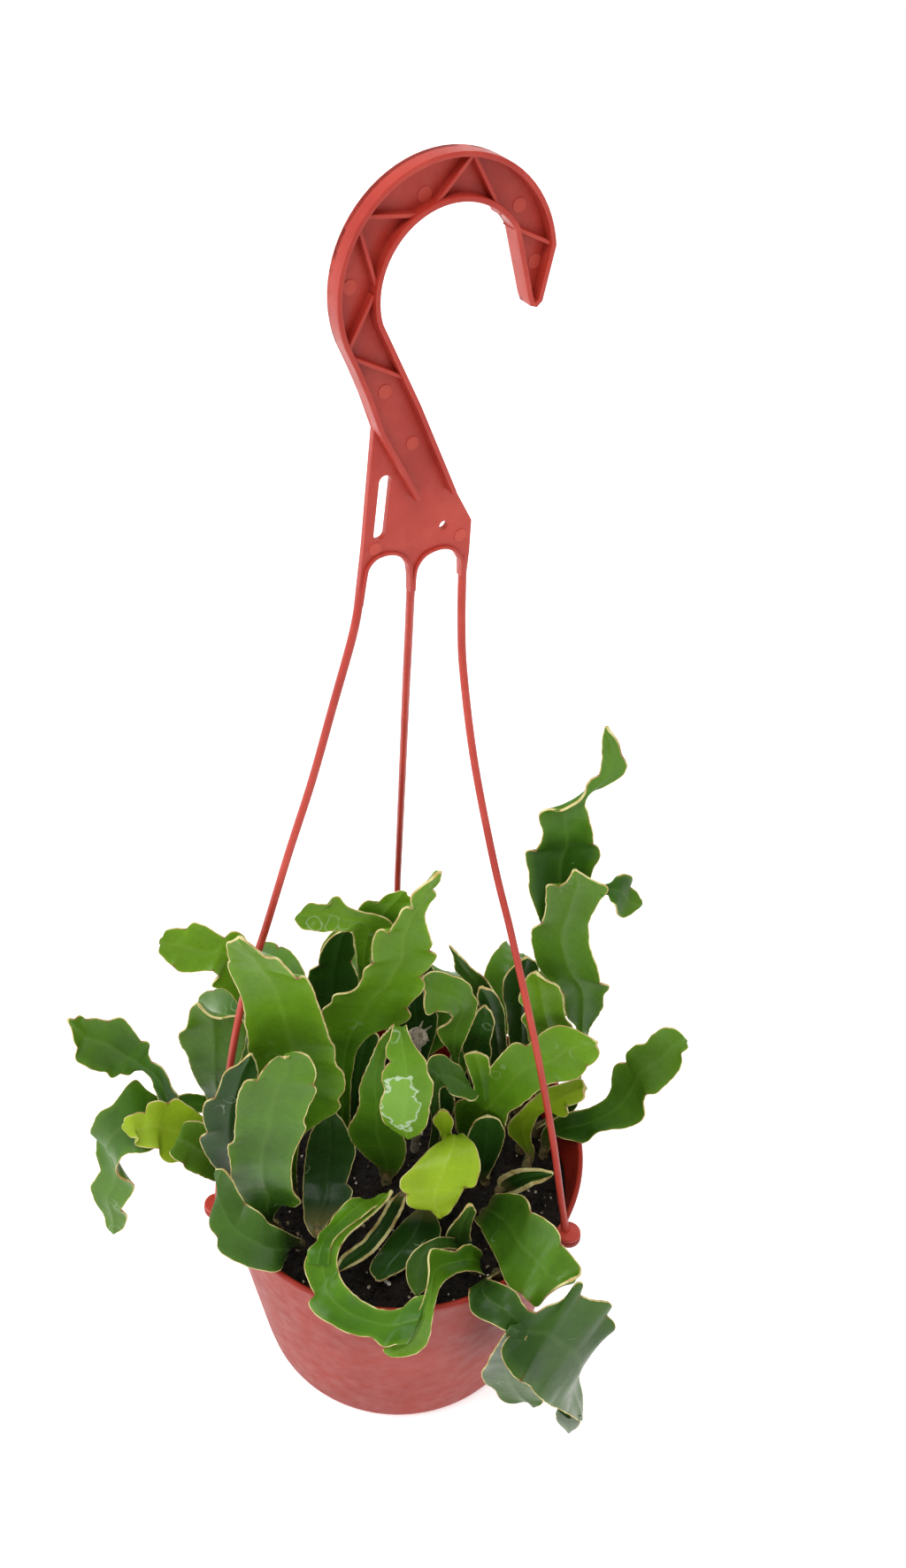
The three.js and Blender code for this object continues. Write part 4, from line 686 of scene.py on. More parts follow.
# %% Moulding
def moulding_meshes():
    """All the flat parts of the hook, the neck and the foot plate."""
    web_middle = (WEB_THICK - MOULDING_DEPTH) / 2
    slot = (round_corner(SLOT_TOP, SLOT_RADIUS, SLOT_LEAN, SLOT_LEAN + 180, 8)
            + round_corner(SLOT_BOTTOM, SLOT_RADIUS, SLOT_LEAN + 180, SLOT_LEAN + 360, 8))
    hole = circle(PLATE_HOLE, PLATE_HOLE_RADIUS, 16)
    made = [
        flat_moulding([hook_outline(), slot, hole], WEB_THICK, 0.3, upright_place(web_middle)),
        flat_moulding([strip(wall_path(), FLANGE_WIDTH, 1)], MOULDING_DEPTH, 0.4,
                      upright_place(0)),
    ]
    for path in RIBS:
        made.append(flat_moulding([strip(path, RIB_WIDTH)], MOULDING_DEPTH - 2 * RIB_DROP, 0.25,
                                  upright_place(-RIB_DROP)))
    for path in (LEFT_ARCH, RIGHT_ARCH):
        rim = strip(eased(path), ARCH_RIM_WIDTH, 1)
        made.append(flat_moulding([rim], WEB_THICK + 2 * ARCH_RIM_RISE, 0.3,
                                  upright_place(web_middle + ARCH_RIM_RISE)))
    for centre in PIN_MARKS:
        mark = flat_moulding([circle(centre, PIN_RADIUS, 24)], WEB_THICK, 0.1,
                             upright_place(web_middle + PIN_RISE))
        mark.polygons.foreach_set("material_index", [1] * len(mark.polygons))
        made.append(mark)
    return made


moulding = moulding_meshes()
print("flat parts:", len(moulding))

# %% [markdown]
# ### Arms and clips
# Each arm is a thin rod through a few points that follow the picture. We sweep a rounded
# section along it, turning the section as little as possible from one step to the next, so
# that it never twists. Each arm ends in a flat button above an ear, with a peg through the
# hole.

# %% Arms and clips
ARM_RADIUS = 1.35
ARM_SIDES = 14
# change of an arm's radius at its start and at its clip, and how fast it fades
START_TAPER, START_FADE = 0.6, 14
CLIP_SWELL, CLIP_FADE = 0.5, 16
ARMS = [
    [(-12.7, -6.8, 397), (-13.4, -7.2, 390), (-15.6, -9.3, 378), (-22, -11.3, 353),
     (-29.2, -13.6, 325), (-37.7, -16.3, 296), (-46.9, -19.2, 263), (-56.2, -22.1, 231),
     (-63, -24.3, 196), (-69.5, -27.2, 150), (-72.6, -28.6, 116)],
    [(17.6, 10.7, 397), (17.4, 10.5, 390), (17.7, 9.4, 370), (18.9, 7.4, 352),
     (23.5, 2.7, 319), (31.6, -5.5, 280), (38.5, -12.5, 253), (48.9, -23.1, 208),
     (57.5, -32, 165), (62.9, -38.6, 132), (65.6, -41.8, 116)],
    [(1.9, 1.6, 397), (1.8, 1.8, 390), (1.6, 3, 384), (1.3, 9, 368), (0.6, 18, 339), (-0.5, 38, 283),
     (-1.6, 57, 230), (-2.2, 66, 195), (-1.6, 73, 155), (0, 78, 116)],
]
BUTTON_RADIUS = 4.8
BUTTON_THICK = 1.5
PEG_LENGTH = 8


def sweep(name, path, radii, sides):
    """A closed rod along a path of vectors in millimetres, with a radius at each point."""
    points, faces = [], []
    side = None
    for index, place in enumerate(path):
        along = along_path(path, index)
        if side is None:
            side = along.cross(Vector((0.1, 0.2, 1)) if abs(along.z) < 0.9
                               else Vector((1, 0.1, 0))).normalized()
        side = (side - along * side.dot(along)).normalized()
        other = along.cross(side)
        for angle in turn_angles(sides):
            points.append(place + radii[index] * (side * math.cos(angle)
                                                  + other * math.sin(angle)))
    for ring in range(len(path) - 1):
        faces += band(ring * sides, (ring + 1) * sides, sides)
    faces.append(tuple(range(sides))[::-1])
    faces.append(tuple(range((len(path) - 1) * sides, len(path) * sides)))
    return mesh_of(name, points, faces)


def arm_mesh(points):
    """One arm. It grows out of the plate, and is slightly thicker where it meets its clip."""
    path = [Vector(p) for p in eased(points, 8)]
    count = len(path) - 1
    radii = [ARM_RADIUS - START_TAPER * max(0, 1 - START_FADE * step / count)
             + CLIP_SWELL * max(0, 1 - CLIP_FADE * (count - step) / count)
             for step in range(count + 1)]
    return sweep("arm", path, radii, ARM_SIDES)


def clip_mesh(angle):
    """Button and peg, turned as one profile, with a round edge and a tapered point."""
    low = POT_HEIGHT + FIT_GAP
    r, t = BUTTON_RADIUS, BUTTON_THICK
    profile = [(0, low - PEG_LENGTH), (PEG_RADIUS * 0.6, low - PEG_LENGTH),
               (PEG_RADIUS, low - PEG_LENGTH + 1.6), (PEG_RADIUS, low), (r - 0.4, low),
               (r, low + 0.4), (r, low + t - 0.5), (r - 0.5, low + t), (2.2, low + t + 0.1),
               (0, low + t + 0.2)]
    points, faces = lathe(profile, 32)
    mesh = mesh_of("clip", points, faces)
    mesh.transform(Matrix.Rotation(math.radians(angle), 4, "Z")
                   @ Matrix.Translation((PEG_CIRCLE * MM, 0, 0)))
    return mesh


hanger_plastic = moulded_plastic("hanger_plastic", "AD392C", "C05446", "9A2A20", 0.36, 0.08)
pin_plastic = moulded_plastic("pin_plastic", "B54436", "C05446", "AC3C2E", 0.45, 0.08)
hanger_mesh = joined_mesh(
    "hanger", [*moulding, *map(arm_mesh, ARMS), *map(clip_mesh, EAR_ANGLES)])
hanger = finished_piece("clip_on_hanger", hanger_mesh, [hanger_plastic, pin_plastic],
                        "hanger")
even = hanger.modifiers.new("even_shading", "WEIGHTED_NORMAL")
even.keep_sharp = True
print("hanger faces:", len(hanger_mesh.polygons))

# %% [markdown]
# ## The stems
# This cactus has no leaves. Its flat, winding stems do their work, with lobes along both
# margins and a thin corky rim. The lobes are irregular, so no formula gives their outline.
# Each stem that shows in the picture is therefore written down as it is seen: the place of
# its left and right margin in the picture, step by step from root to tip, and beside it how
# far back the middle of the blade lies. These depths were judged, and for most blades a
# small fit then thinned them to even steps. The scene's own camera turns all this into a
# shape.
# The stems that are hidden have a spine instead, with a place and a half width at each
# point, and a formula cuts their lobes. Every stem is one row in the table below: its skin,
# where it roots, and its blades.

# %% Table of the stems
STEMS = {
    "stem_front_arc": ("fresh", (30, -44), [
        {"cup": 0.2, "depth": (-53, -67, -86, -91), "margins": [
            (548, 1442, 545, 1418), (536, 1438, 536, 1409), (525, 1438, 526, 1407),
            (515, 1440, 514, 1415), (507, 1445, 500, 1413), (500, 1451, 488, 1412),
            (495, 1460, 484, 1421), (492, 1470, 485, 1437), (490, 1482, 482, 1456),
            (488, 1498, 476, 1475), (486, 1512, 468, 1492), (479, 1524, 458, 1508),
            (464, 1533, 446, 1520), (447, 1535, 434, 1524)]},
        {"cup": 0.2, "depth": (-88, -82, -62, -34), "margins": [
            (460, 1520, 484, 1464), (446, 1521, 470, 1466), (434, 1523, 456, 1478),
            (424, 1516, 443, 1481), (420, 1512, 432, 1480), (404, 1510, 420, 1476),
            (386, 1504, 408, 1469), (370, 1495, 398, 1461), (354, 1484, 390, 1452),
            (349, 1473, 385, 1443), (356, 1465, 383, 1436), (348, 1448, 381, 1428),
            (344, 1430, 382, 1418), (349, 1416, 386, 1408), (358, 1409, 392, 1399),
            (365, 1401, 400, 1391), (376, 1390, 410, 1383), (388, 1381, 418, 1376),
            (402, 1373, 426, 1369), (416, 1366, 433, 1362), (429, 1359, 439, 1356),
            (440, 1350, 443, 1346)]},
        {"cup": -0.1, "depth": (-69, -35), "margins": [
            (347, 1428, 372, 1430), (348, 1414, 374, 1412), (358, 1404, 378, 1402),
            (360, 1396, 386, 1394), (370, 1386, 396, 1386), (380, 1371, 406, 1379),
            (394, 1357, 416, 1371), (406, 1354, 424, 1365), (412, 1360, 430, 1360),
            (428, 1351, 438, 1353)]},
    ]),
    "stem_brown_edge": ("deep_green_shaded", (3, -8), [
        {"cup": 0.1, "depth": (-12, -40, -56), "margins": [
            (460, 1352, 447, 1352), (457, 1364, 440, 1358), (450, 1378, 434, 1368),
            (443, 1390, 427, 1380), (434, 1403, 417, 1393), (424, 1415, 408, 1404),
            (412, 1424, 396, 1412), (398, 1432, 386, 1420), (384, 1438, 381, 1431)]},
    ]),
    "stem_front_bright": ("lime", (18, 0), [
        {"cup": 0.12, "depth": (-2, -26, -36, -42, -45), "margins": [
            (494, 1318, 506, 1316), (500, 1298, 512, 1296), (503, 1284, 522, 1282),
            (500, 1290, 531, 1289), (488, 1298, 538, 1297), (474, 1311, 541, 1306),
            (464, 1322, 543, 1318), (453, 1333, 541, 1332), (452, 1343, 536, 1342),
            (459, 1350, 526, 1342), (460, 1361, 521, 1351), (471, 1367, 514, 1362),
            (486, 1367, 507, 1372), (493, 1375, 500, 1376)]},
        {"cup": 0.15, "depth": (-16, -14), "margins": [
            (500, 1292, 514, 1290), (496, 1278, 510, 1279), (489, 1266, 513, 1268),
            (494, 1258, 508, 1259)]},
    ]),
    "stem_dry_edge": ("deep_green_shaded", (42, -8), [
        {"cup": 0.2, "depth": (-9, -17, -20), "margins": [
            (563, 1344, 572, 1350), (563, 1333, 582, 1350), (573, 1326, 593, 1346),
            (585, 1322, 603, 1340), (598, 1321, 614, 1336), (612, 1322, 621, 1332),
            (622, 1325, 625, 1328)]},
    ]),
    "stem_right_front": ("leaf", (35, -19), [
        {"cup": 0.1, "depth": (-20, -51, -69, -73), "margins": [
            (556, 1354, 538, 1378), (568, 1350, 543, 1388), (580, 1350, 549, 1400),
            (592, 1353, 556, 1413), (598, 1360, 563, 1426), (600, 1370, 566, 1436),
            (613, 1376, 571, 1448), (624, 1384, 578, 1457), (632, 1395, 588, 1463),
            (634, 1406, 598, 1472), (646, 1419, 607, 1478), (656, 1432, 616, 1467),
            (656, 1440, 630, 1455), (652, 1444, 641, 1449)]},
    ]),
    "stem_right_low": ("grey", (39, -47), [
        {"cup": 0.08, "depth": (-68, -78, -83, -85, -85, -86, -85, -84, -83, -81, -77), "margins": [
            (550, 1446, 530, 1458), (562, 1450, 532, 1481), (574, 1455, 542, 1491),
            (584, 1461, 554, 1496), (590, 1472, 566, 1502), (597, 1482, 580, 1508),
            (607, 1484, 569, 1519), (617, 1477, 566, 1528), (632, 1472, 570, 1541),
            (643, 1463, 578, 1553), (656, 1449, 588, 1562), (656, 1464, 598, 1567),
            (668, 1469, 603, 1574), (691, 1474, 609, 1580), (686, 1486, 616, 1585),
            (695, 1500, 622, 1589), (686, 1510, 628, 1592), (670, 1525, 634, 1595),
            (651, 1543, 640, 1598), (654, 1560, 645, 1601), (658, 1580, 650, 1604),
            (658, 1600, 654, 1607)]},
        {"cup": 0.15, "depth": (-88, -83, -77, -74, -73), "margins": [
            (598, 1504, 576, 1500), (594, 1516, 566, 1514), (594, 1524, 561, 1522),
            (595, 1534, 555, 1532), (597, 1546, 549, 1544), (600, 1556, 544, 1552),
            (604, 1565, 549, 1564), (608, 1574, 560, 1572), (611, 1580, 567, 1583),
            (614, 1584, 580, 1586), (611, 1588, 594, 1583), (606, 1590, 600, 1588)]},
        {"cup": -0.3, "depth": (-78, -76), "margins": [
            (656, 1600, 630, 1593), (656, 1608, 628, 1601), (652, 1614, 633, 1611),
            (646, 1618, 640, 1616)]},
    ]),
    "stem_front_left": ("leaf", (-51, -25), [
        {"cup": 0.15, "depth": (-32, -39, -42, -44, -45, -45, -45, -43, -43), "margins": [
            (296, 1382, 309, 1377), (284, 1369, 321, 1362), (274, 1357, 333, 1364),
            (268, 1349, 340, 1358), (264, 1341, 332, 1347), (261, 1327, 330, 1335),
            (260, 1312, 330, 1320), (258, 1295, 333, 1303), (264, 1290, 339, 1290),
            (265, 1276, 346, 1275), (266, 1262, 344, 1268), (267, 1248, 350, 1250),
            (271, 1232, 358, 1232), (279, 1221, 355, 1226), (290, 1222, 357, 1214),
            (296, 1210, 354, 1203), (304, 1201, 349, 1194), (314, 1194, 337, 1189),
            (321, 1196, 328, 1191)]},
    ]),
    "stem_behind_front_left": ("deep_green_shaded", (-56, -15), [
        {"cup": 0.15, "depth": (-23, -34, -35, -36, -36, -36, -35, -35), "margins": [
            (270, 1352, 290, 1350), (252, 1331, 290, 1330), (240, 1316, 290, 1312),
            (230, 1300, 288, 1298), (226, 1286, 286, 1284), (234, 1280, 286, 1278),
            (229, 1262, 287, 1262), (232, 1246, 288, 1246), (243, 1241, 290, 1238),
            (248, 1226, 291, 1224), (256, 1210, 292, 1212), (268, 1204, 290, 1202),
            (280, 1193, 286, 1193)]},
    ]),
    "stem_over_rim_left": ("grey", (-41, -33), [
        {"cup": -0.1, "depth": (-42, -59, -60, -57, -53, -47, -42), "margins": [
            (328, 1412, 334, 1398), (322, 1424, 326, 1394), (310, 1438, 314, 1388),
            (294, 1436, 304, 1383), (276, 1431, 294, 1371), (260, 1423, 284, 1365),
            (247, 1414, 277, 1360), (246, 1399, 270, 1348), (237, 1386, 265, 1338),
            (239, 1369, 258, 1328), (248, 1352, 251, 1321), (247, 1334, 245, 1322)]},
    ]),
    "stem_dark_centre_left": ("deep_green_shaded", (-32, -31), [
        {"cup": 0.15, "depth": (-31, -20, -9, -3), "margins": [
            (352, 1396, 366, 1394), (345, 1384, 370, 1384), (343, 1370, 380, 1371),
            (342, 1356, 394, 1358), (342, 1345, 399, 1347), (343, 1334, 392, 1338),
            (344, 1318, 398, 1318), (346, 1300, 402, 1300), (350, 1284, 396, 1284),
            (358, 1270, 388, 1268), (368, 1260, 380, 1258)]},
    ]),
    "stem_big_left": ("fresh", (-45, -9), [
        {"cup": 0.15, "depth": (-17, -29, -37), "margins": [
            (318, 1316, 336, 1312), (306, 1290, 343, 1283), (298, 1275, 362, 1268),
            (291, 1262, 379, 1258), (288, 1250, 385, 1251), (286, 1240, 383, 1243),
            (284, 1229, 390, 1231), (282, 1214, 388, 1213), (281, 1199, 380, 1202),
            (280, 1186, 378, 1183), (280, 1174, 374, 1177), (277, 1158, 368, 1158),
            (275, 1137, 359, 1132), (269, 1119, 351, 1112), (262, 1104, 344, 1105),
            (257, 1091, 336, 1108), (259, 1086, 324, 1094), (257, 1076, 314, 1084),
            (256, 1067, 301, 1083), (260, 1065, 290, 1073), (267, 1061, 276, 1062)]},
    ]),
    "stem_grey_left": ("leaf", (-53, 3), [
        {"cup": 0.15, "depth": (3, -6, -8, -9), "margins": [
            (262, 1300, 278, 1296), (240, 1262, 268, 1256), (231, 1236, 262, 1240),
            (222, 1222, 263, 1226), (215, 1205, 268, 1211), (211, 1191, 274, 1193),
            (203, 1179, 278, 1177), (202, 1168, 278, 1162), (210, 1162, 272, 1151),
            (213, 1150, 262, 1149), (215, 1141, 249, 1152), (220, 1135, 236, 1148),
            (222, 1134, 227, 1139)]},
    ]),
    "stem_upper_left": ("fresh", (-49, 9), [
        {"cup": 0.15, "depth": (4, -9, -9, -10, -11, -11, -11), "margins": [
            (306, 1262, 318, 1258), (288, 1182, 308, 1178), (270, 1138, 298, 1126),
            (253, 1118, 292, 1100), (239, 1115, 284, 1074), (248, 1104, 273, 1056),
            (240, 1098, 262, 1053), (228, 1098, 254, 1060), (214, 1100, 240, 1051),
            (202, 1098, 228, 1045), (196, 1093, 218, 1043), (190, 1089, 211, 1050),
            (184, 1083, 197, 1050), (179, 1076, 187, 1052), (181, 1069, 184, 1059)]},
    ]),
    "stem_far_left": ("leaf", (-58, 12), [
        {"cup": 0.15, "depth": (14, 3, -8, -10, -10, -10, -10, -10), "margins": [
            (290, 1286, 300, 1276), (262, 1270, 268, 1256), (236, 1258, 236, 1240),
            (214, 1260, 212, 1236), (196, 1272, 196, 1240), (184, 1290, 179, 1240),
            (176, 1298, 166, 1232), (162, 1304, 152, 1221), (148, 1304, 139, 1233),
            (138, 1309, 128, 1248), (133, 1317, 113, 1257), (132, 1324, 105, 1273),
            (136, 1331, 103, 1281), (142, 1334, 110, 1286), (149, 1337, 109, 1304),
            (152, 1344, 113, 1322), (148, 1353, 108, 1332), (141, 1362, 102, 1342),
            (137, 1369, 105, 1352), (143, 1374, 109, 1361), (142, 1385, 118, 1374),
            (136, 1392, 121, 1388), (131, 1394, 126, 1393)]},
        {"cup": 0.15, "depth": (0, -1, -3), "margins": [
            (182, 1254, 201, 1250), (180, 1246, 202, 1241), (174, 1230, 195, 1230),
            (170, 1219, 190, 1216), (161, 1210, 181, 1205), (152, 1211, 172, 1201),
            (146, 1216, 168, 1190), (136, 1214, 168, 1178), (127, 1219, 160, 1177),
            (120, 1213, 153, 1167), (108, 1211, 146, 1158), (96, 1206, 136, 1150),
            (87, 1201, 122, 1154), (85, 1193, 108, 1151), (88, 1186, 98, 1152), (83, 1177, 90, 1148),
            (81, 1165, 85, 1152), (77, 1157, 79, 1151)]},
    ]),
    "stem_yellow_left": ("lime", (-64, -1), [
        {"cup": 0.15, "depth": (-5, -14, -16, -17, -19, -20, -19), "margins": [
            (262, 1316, 270, 1307), (237, 1304, 246, 1285), (223, 1304, 231, 1264),
            (211, 1309, 219, 1254), (200, 1314, 208, 1247), (189, 1315, 199, 1242),
            (181, 1308, 190, 1247), (180, 1299, 178, 1244), (170, 1298, 168, 1247),
            (160, 1297, 164, 1258), (152, 1293, 155, 1258), (157, 1288, 148, 1261),
            (148, 1286, 141, 1264), (141, 1279, 140, 1270)]},
    ]),
    "stem_square_left": ("leaf", (-61, -8), [
        {"cup": 0.15, "depth": (-18, -24, -26, -26), "margins": [
            (260, 1337, 268, 1327), (246, 1336, 258, 1312), (232, 1332, 250, 1296),
            (222, 1327, 244, 1284), (210, 1322, 237, 1274), (207, 1316, 228, 1269),
            (195, 1309, 216, 1267), (192, 1303, 209, 1269), (197, 1299, 205, 1280),
            (201, 1297, 203, 1290)]},
    ]),
    "stem_tall_centre": ("fresh", (-25, 8), [
        {"cup": 0.15, "depth": (5, -8, -12, -12), "margins": [
            (382, 1286, 396, 1284), (379, 1250, 396, 1246), (376, 1215, 399, 1210),
            (373, 1186, 406, 1183), (370, 1166, 424, 1167), (366, 1152, 446, 1160),
            (364, 1142, 464, 1150), (373, 1135, 460, 1139), (378, 1125, 468, 1130),
            (390, 1123, 478, 1120), (401, 1118, 480, 1111), (408, 1108, 475, 1104),
            (412, 1096, 486, 1093), (421, 1089, 494, 1081), (420, 1074, 486, 1075),
            (422, 1060, 489, 1068), (430, 1051, 486, 1058), (439, 1055, 483, 1046),
            (449, 1038, 481, 1033), (458, 1026, 486, 1021), (466, 1028, 494, 1011),
            (464, 1014, 489, 1005), (476, 1002, 497, 996), (487, 995, 499, 986)]},
    ]),
    "stem_dark_behind_centre": ("deep_green_shaded", (-20, 22), [
        {"cup": 0.15, "lobes": 4, "notch": 0.18, "spine": [
            (-20, 22, 94, 2), (-20, 17, 112, 5), (-18, 14, 136, 8.5), (-16, 13, 156, 9),
            (-13, 12, 172, 4.5)]},
    ]),
    "stem_dark_upper": ("deep_green_shaded", (-32, 32), [
        {"cup": 0.15, "depth": (28, 12, 12, 12), "margins": [
            (366, 1240, 377, 1236), (358, 1190, 374, 1186), (352, 1152, 384, 1150),
            (349, 1130, 397, 1128), (348, 1112, 406, 1109), (350, 1097, 402, 1098),
            (360, 1091, 397, 1086), (361, 1080, 402, 1077), (367, 1068, 400, 1066),
            (376, 1058, 399, 1055), (385, 1053, 395, 1052)]},
    ]),
    "stem_curled_top": ("fresh", (-11, 37), [
        {"cup": 0.35, "depth": (27, 5, 2, -2, -2, -3, -3, -4, -4, -4), "margins": [
            (418, 1220, 430, 1216), (410, 1150, 424, 1146), (405, 1106, 421, 1102),
            (402, 1080, 420, 1082), (400, 1062, 428, 1066), (398, 1053, 444, 1045),
            (392, 1053, 429, 1035), (384, 1053, 414, 1032), (374, 1053, 400, 1028),
            (364, 1054, 390, 1022), (356, 1053, 384, 1014), (350, 1052, 375, 1015),
            (346, 1052, 374, 1022), (342, 1051, 360, 1022), (339, 1049, 349, 1021),
            (336, 1045, 343, 1026), (334, 1041, 340, 1031)]},
        {"cup": 0.15, "depth": (1, 5), "margins": [
            (404, 1058, 440, 1062), (402, 1034, 452, 1048), (410, 1021, 462, 1037),
            (416, 1018, 466, 1028), (425, 1022, 467, 1021), (438, 1011, 466, 1016),
            (449, 1008, 461, 1012)]},
    ]),
    "stem_folded_centre": ("stained", (-6, -2), [
        {"cup": 0.18, "depth": (-6, -15, -12, -27, -33, -33), "margins": [
            (424, 1316, 452, 1322), (410, 1305, 458, 1310), (398, 1291, 459, 1296),
            (393, 1277, 456, 1282), (399, 1264, 452, 1266), (406, 1248, 446, 1250),
            (406, 1230, 440, 1232), (412, 1212, 436, 1216), (420, 1195, 436, 1200),
            (427, 1178, 442, 1184), (438, 1165, 450, 1170), (445, 1158, 459, 1159),
            (440, 1174, 466, 1178), (435, 1190, 475, 1191), (441, 1200, 482, 1200),
            (432, 1212, 484, 1214), (431, 1222, 490, 1225), (434, 1231, 489, 1238),
            (429, 1250, 486, 1250), (434, 1269, 484, 1266), (441, 1275, 478, 1278),
            (452, 1282, 470, 1284), (459, 1285, 464, 1286)]},
    ]),
    "stem_centre_ribbon": ("leaf", (26, 25), [
        {"cup": 0.2, "depth": (17, 2, -3, -5, -6, -6), "margins": [
            (514, 1250, 524, 1248), (511, 1222, 521, 1220), (510, 1196, 519, 1196),
            (505, 1184, 522, 1184), (498, 1175, 528, 1170), (494, 1164, 533, 1158),
            (505, 1158, 538, 1144), (511, 1151, 540, 1132), (508, 1145, 535, 1124),
            (500, 1144, 531, 1113), (492, 1144, 520, 1106), (483, 1148, 508, 1102),
            (480, 1143, 496, 1098), (479, 1133, 486, 1099), (481, 1123, 480, 1103)]},
    ]),
    "stem_grey_tip": ("grey", (40, 40), [
        {"cup": 0.15, "depth": (29, 13, 10, 9), "margins": [
            (548, 1240, 556, 1236), (547, 1190, 560, 1186), (543, 1150, 562, 1146),
            (536, 1130, 560, 1124), (530, 1116, 552, 1111), (521, 1104, 546, 1104),
            (514, 1096, 534, 1095), (513, 1088, 523, 1083), (511, 1078, 516, 1076),
            (507, 1070, 510, 1070)]},
    ]),
    "stem_inner_dark": ("deep_green_shaded", (35, 30), [
        {"cup": 0.15, "depth": (23, 8, 6, 3, 3), "margins": [
            (534, 1245, 544, 1244), (530, 1220, 549, 1216), (525, 1196, 554, 1199),
            (522, 1184, 556, 1188), (526, 1173, 554, 1180), (530, 1163, 557, 1168),
            (535, 1153, 559, 1156), (539, 1143, 556, 1145), (545, 1138, 551, 1139)]},
    ]),
    "stem_outer_dark": ("deep_green_shaded", (46, 27), [
        {"cup": 0.15, "depth": (29, 10, 6), "margins": [
            (562, 1240, 574, 1238), (556, 1215, 574, 1205), (552, 1195, 573, 1182),
            (549, 1175, 571, 1160), (545, 1155, 570, 1143), (542, 1138, 564, 1129),
            (539, 1126, 557, 1120), (541, 1118, 548, 1117)]},
    ]),
    "stem_back_dark": ("deep_green_shaded", (52, 35), [
        {"cup": 0.15, "depth": (34, 21, 20), "margins": [
            (584, 1235, 598, 1232), (578, 1200, 600, 1194), (574, 1170, 604, 1162),
            (572, 1145, 606, 1135), (568, 1122, 608, 1112), (570, 1106, 609, 1098),
            (579, 1094, 607, 1089), (590, 1085, 600, 1084)]},
    ]),
    "stem_small_fold": ("grey", (13, 8), [
        {"cup": 0.15, "depth": (-1, -10, -10, -9), "margins": [
            (488, 1268, 499, 1268), (484, 1245, 497, 1245), (482, 1222, 498, 1231),
            (482, 1206, 504, 1228), (486, 1195, 509, 1237), (500, 1192, 516, 1240),
            (510, 1200, 524, 1242), (519, 1205, 531, 1245), (527, 1220, 537, 1244),
            (533, 1232, 540, 1240)]},
    ]),
    "stem_big_right": ("fresh", (27, 13), [
        {"cup": 0.12, "depth": (6, -5, -7, -8, -8, -8), "margins": [
            (518, 1284, 538, 1286), (514, 1262, 556, 1279), (516, 1246, 569, 1277),
            (528, 1241, 573, 1266), (541, 1236, 576, 1257), (547, 1222, 586, 1251),
            (553, 1209, 597, 1243), (561, 1198, 608, 1233), (572, 1186, 620, 1226),
            (582, 1179, 632, 1223), (594, 1182, 644, 1222), (604, 1176, 653, 1219),
            (613, 1167, 661, 1212), (626, 1160, 664, 1206), (640, 1160, 670, 1203),
            (655, 1166, 675, 1197), (666, 1172, 678, 1190), (672, 1176, 674, 1183)]},
        {"cup": 0.08, "depth": (-4, -3), "margins": [
            (536, 1246, 560, 1241), (535, 1228, 556, 1222), (530, 1212, 554, 1208),
            (524, 1195, 553, 1197)]},
    ]),
    "stem_under_right": ("lime", (54, 3), [
        {"cup": 0.15, "depth": (6, -3), "margins": [
            (598, 1308, 604, 1304), (584, 1292, 600, 1286), (574, 1280, 603, 1272),
            (576, 1268, 610, 1260), (590, 1254, 620, 1254), (604, 1240, 632, 1262),
            (618, 1230, 642, 1261), (632, 1226, 640, 1251), (646, 1222, 652, 1248),
            (657, 1220, 661, 1241), (661, 1227, 659, 1234)]},
    ]),
    "stem_bright_right": ("fresh", (52, 14), [
        {"cup": 0.15, "depth": (9, -6), "margins": [
            (604, 1250, 614, 1246), (602, 1206, 630, 1200), (598, 1180, 648, 1172),
            (594, 1160, 647, 1160), (589, 1152, 640, 1152), (594, 1142, 638, 1140),
            (586, 1130, 636, 1126), (591, 1114, 630, 1114), (597, 1103, 620, 1110),
            (603, 1099, 610, 1103)]},
    ]),
    "stem_tall_right": ("leaf", (59, 23), [
        {"cup": 0.15, "depth": (14, 11, 8, 6, 5, 2, 2), "margins": [
            (640, 1256, 651, 1252), (644, 1215, 658, 1210), (648, 1182, 664, 1177),
            (651, 1162, 667, 1162), (641, 1150, 676, 1149), (638, 1136, 682, 1137),
            (637, 1121, 683, 1124), (626, 1113, 689, 1115), (614, 1102, 679, 1112),
            (607, 1090, 677, 1098), (603, 1075, 671, 1082), (600, 1062, 667, 1070),
            (602, 1050, 666, 1056), (612, 1044, 666, 1044), (616, 1028, 671, 1031),
            (617, 1012, 679, 1017), (619, 1001, 687, 1004), (631, 1003, 676, 998), (640, 997, 663, 991),
            (646, 986, 654, 985)]},
        {"cup": 0.15, "depth": (8, 14, 12, 11, 10), "margins": [
            (614, 1050, 648, 1056), (604, 1025, 664, 1031), (598, 1007, 668, 1012),
            (597, 988, 668, 992), (594, 972, 672, 980), (595, 962, 679, 968), (605, 962, 677, 959),
            (611, 952, 671, 955), (613, 938, 670, 940), (609, 926, 667, 928), (611, 918, 664, 917),
            (621, 915, 662, 911), (632, 917, 662, 906), (644, 912, 664, 901), (654, 906, 666, 897),
            (660, 898, 672, 893), (662, 889, 681, 890), (668, 881, 692, 884), (677, 876, 702, 878),
            (680, 862, 709, 867), (680, 846, 703, 853), (681, 832, 699, 839), (683, 822, 689, 826)]},
        {"cup": 0.15, "depth": (3, 6), "margins": [
            (680, 1001, 679, 1012), (690, 998, 687, 1012), (698, 990, 691, 1020), (708, 988, 695, 1024),
            (715, 993, 698, 1034), (712, 1002, 704, 1038), (720, 1008, 713, 1034),
            (724, 1016, 720, 1028)]},
    ]),
    "stem_far_right": ("leaf", (62, 12), [
        {"cup": 0.15, "depth": (7, 3, 1, 1, 1, -1, -2, -2, -2), "margins": [
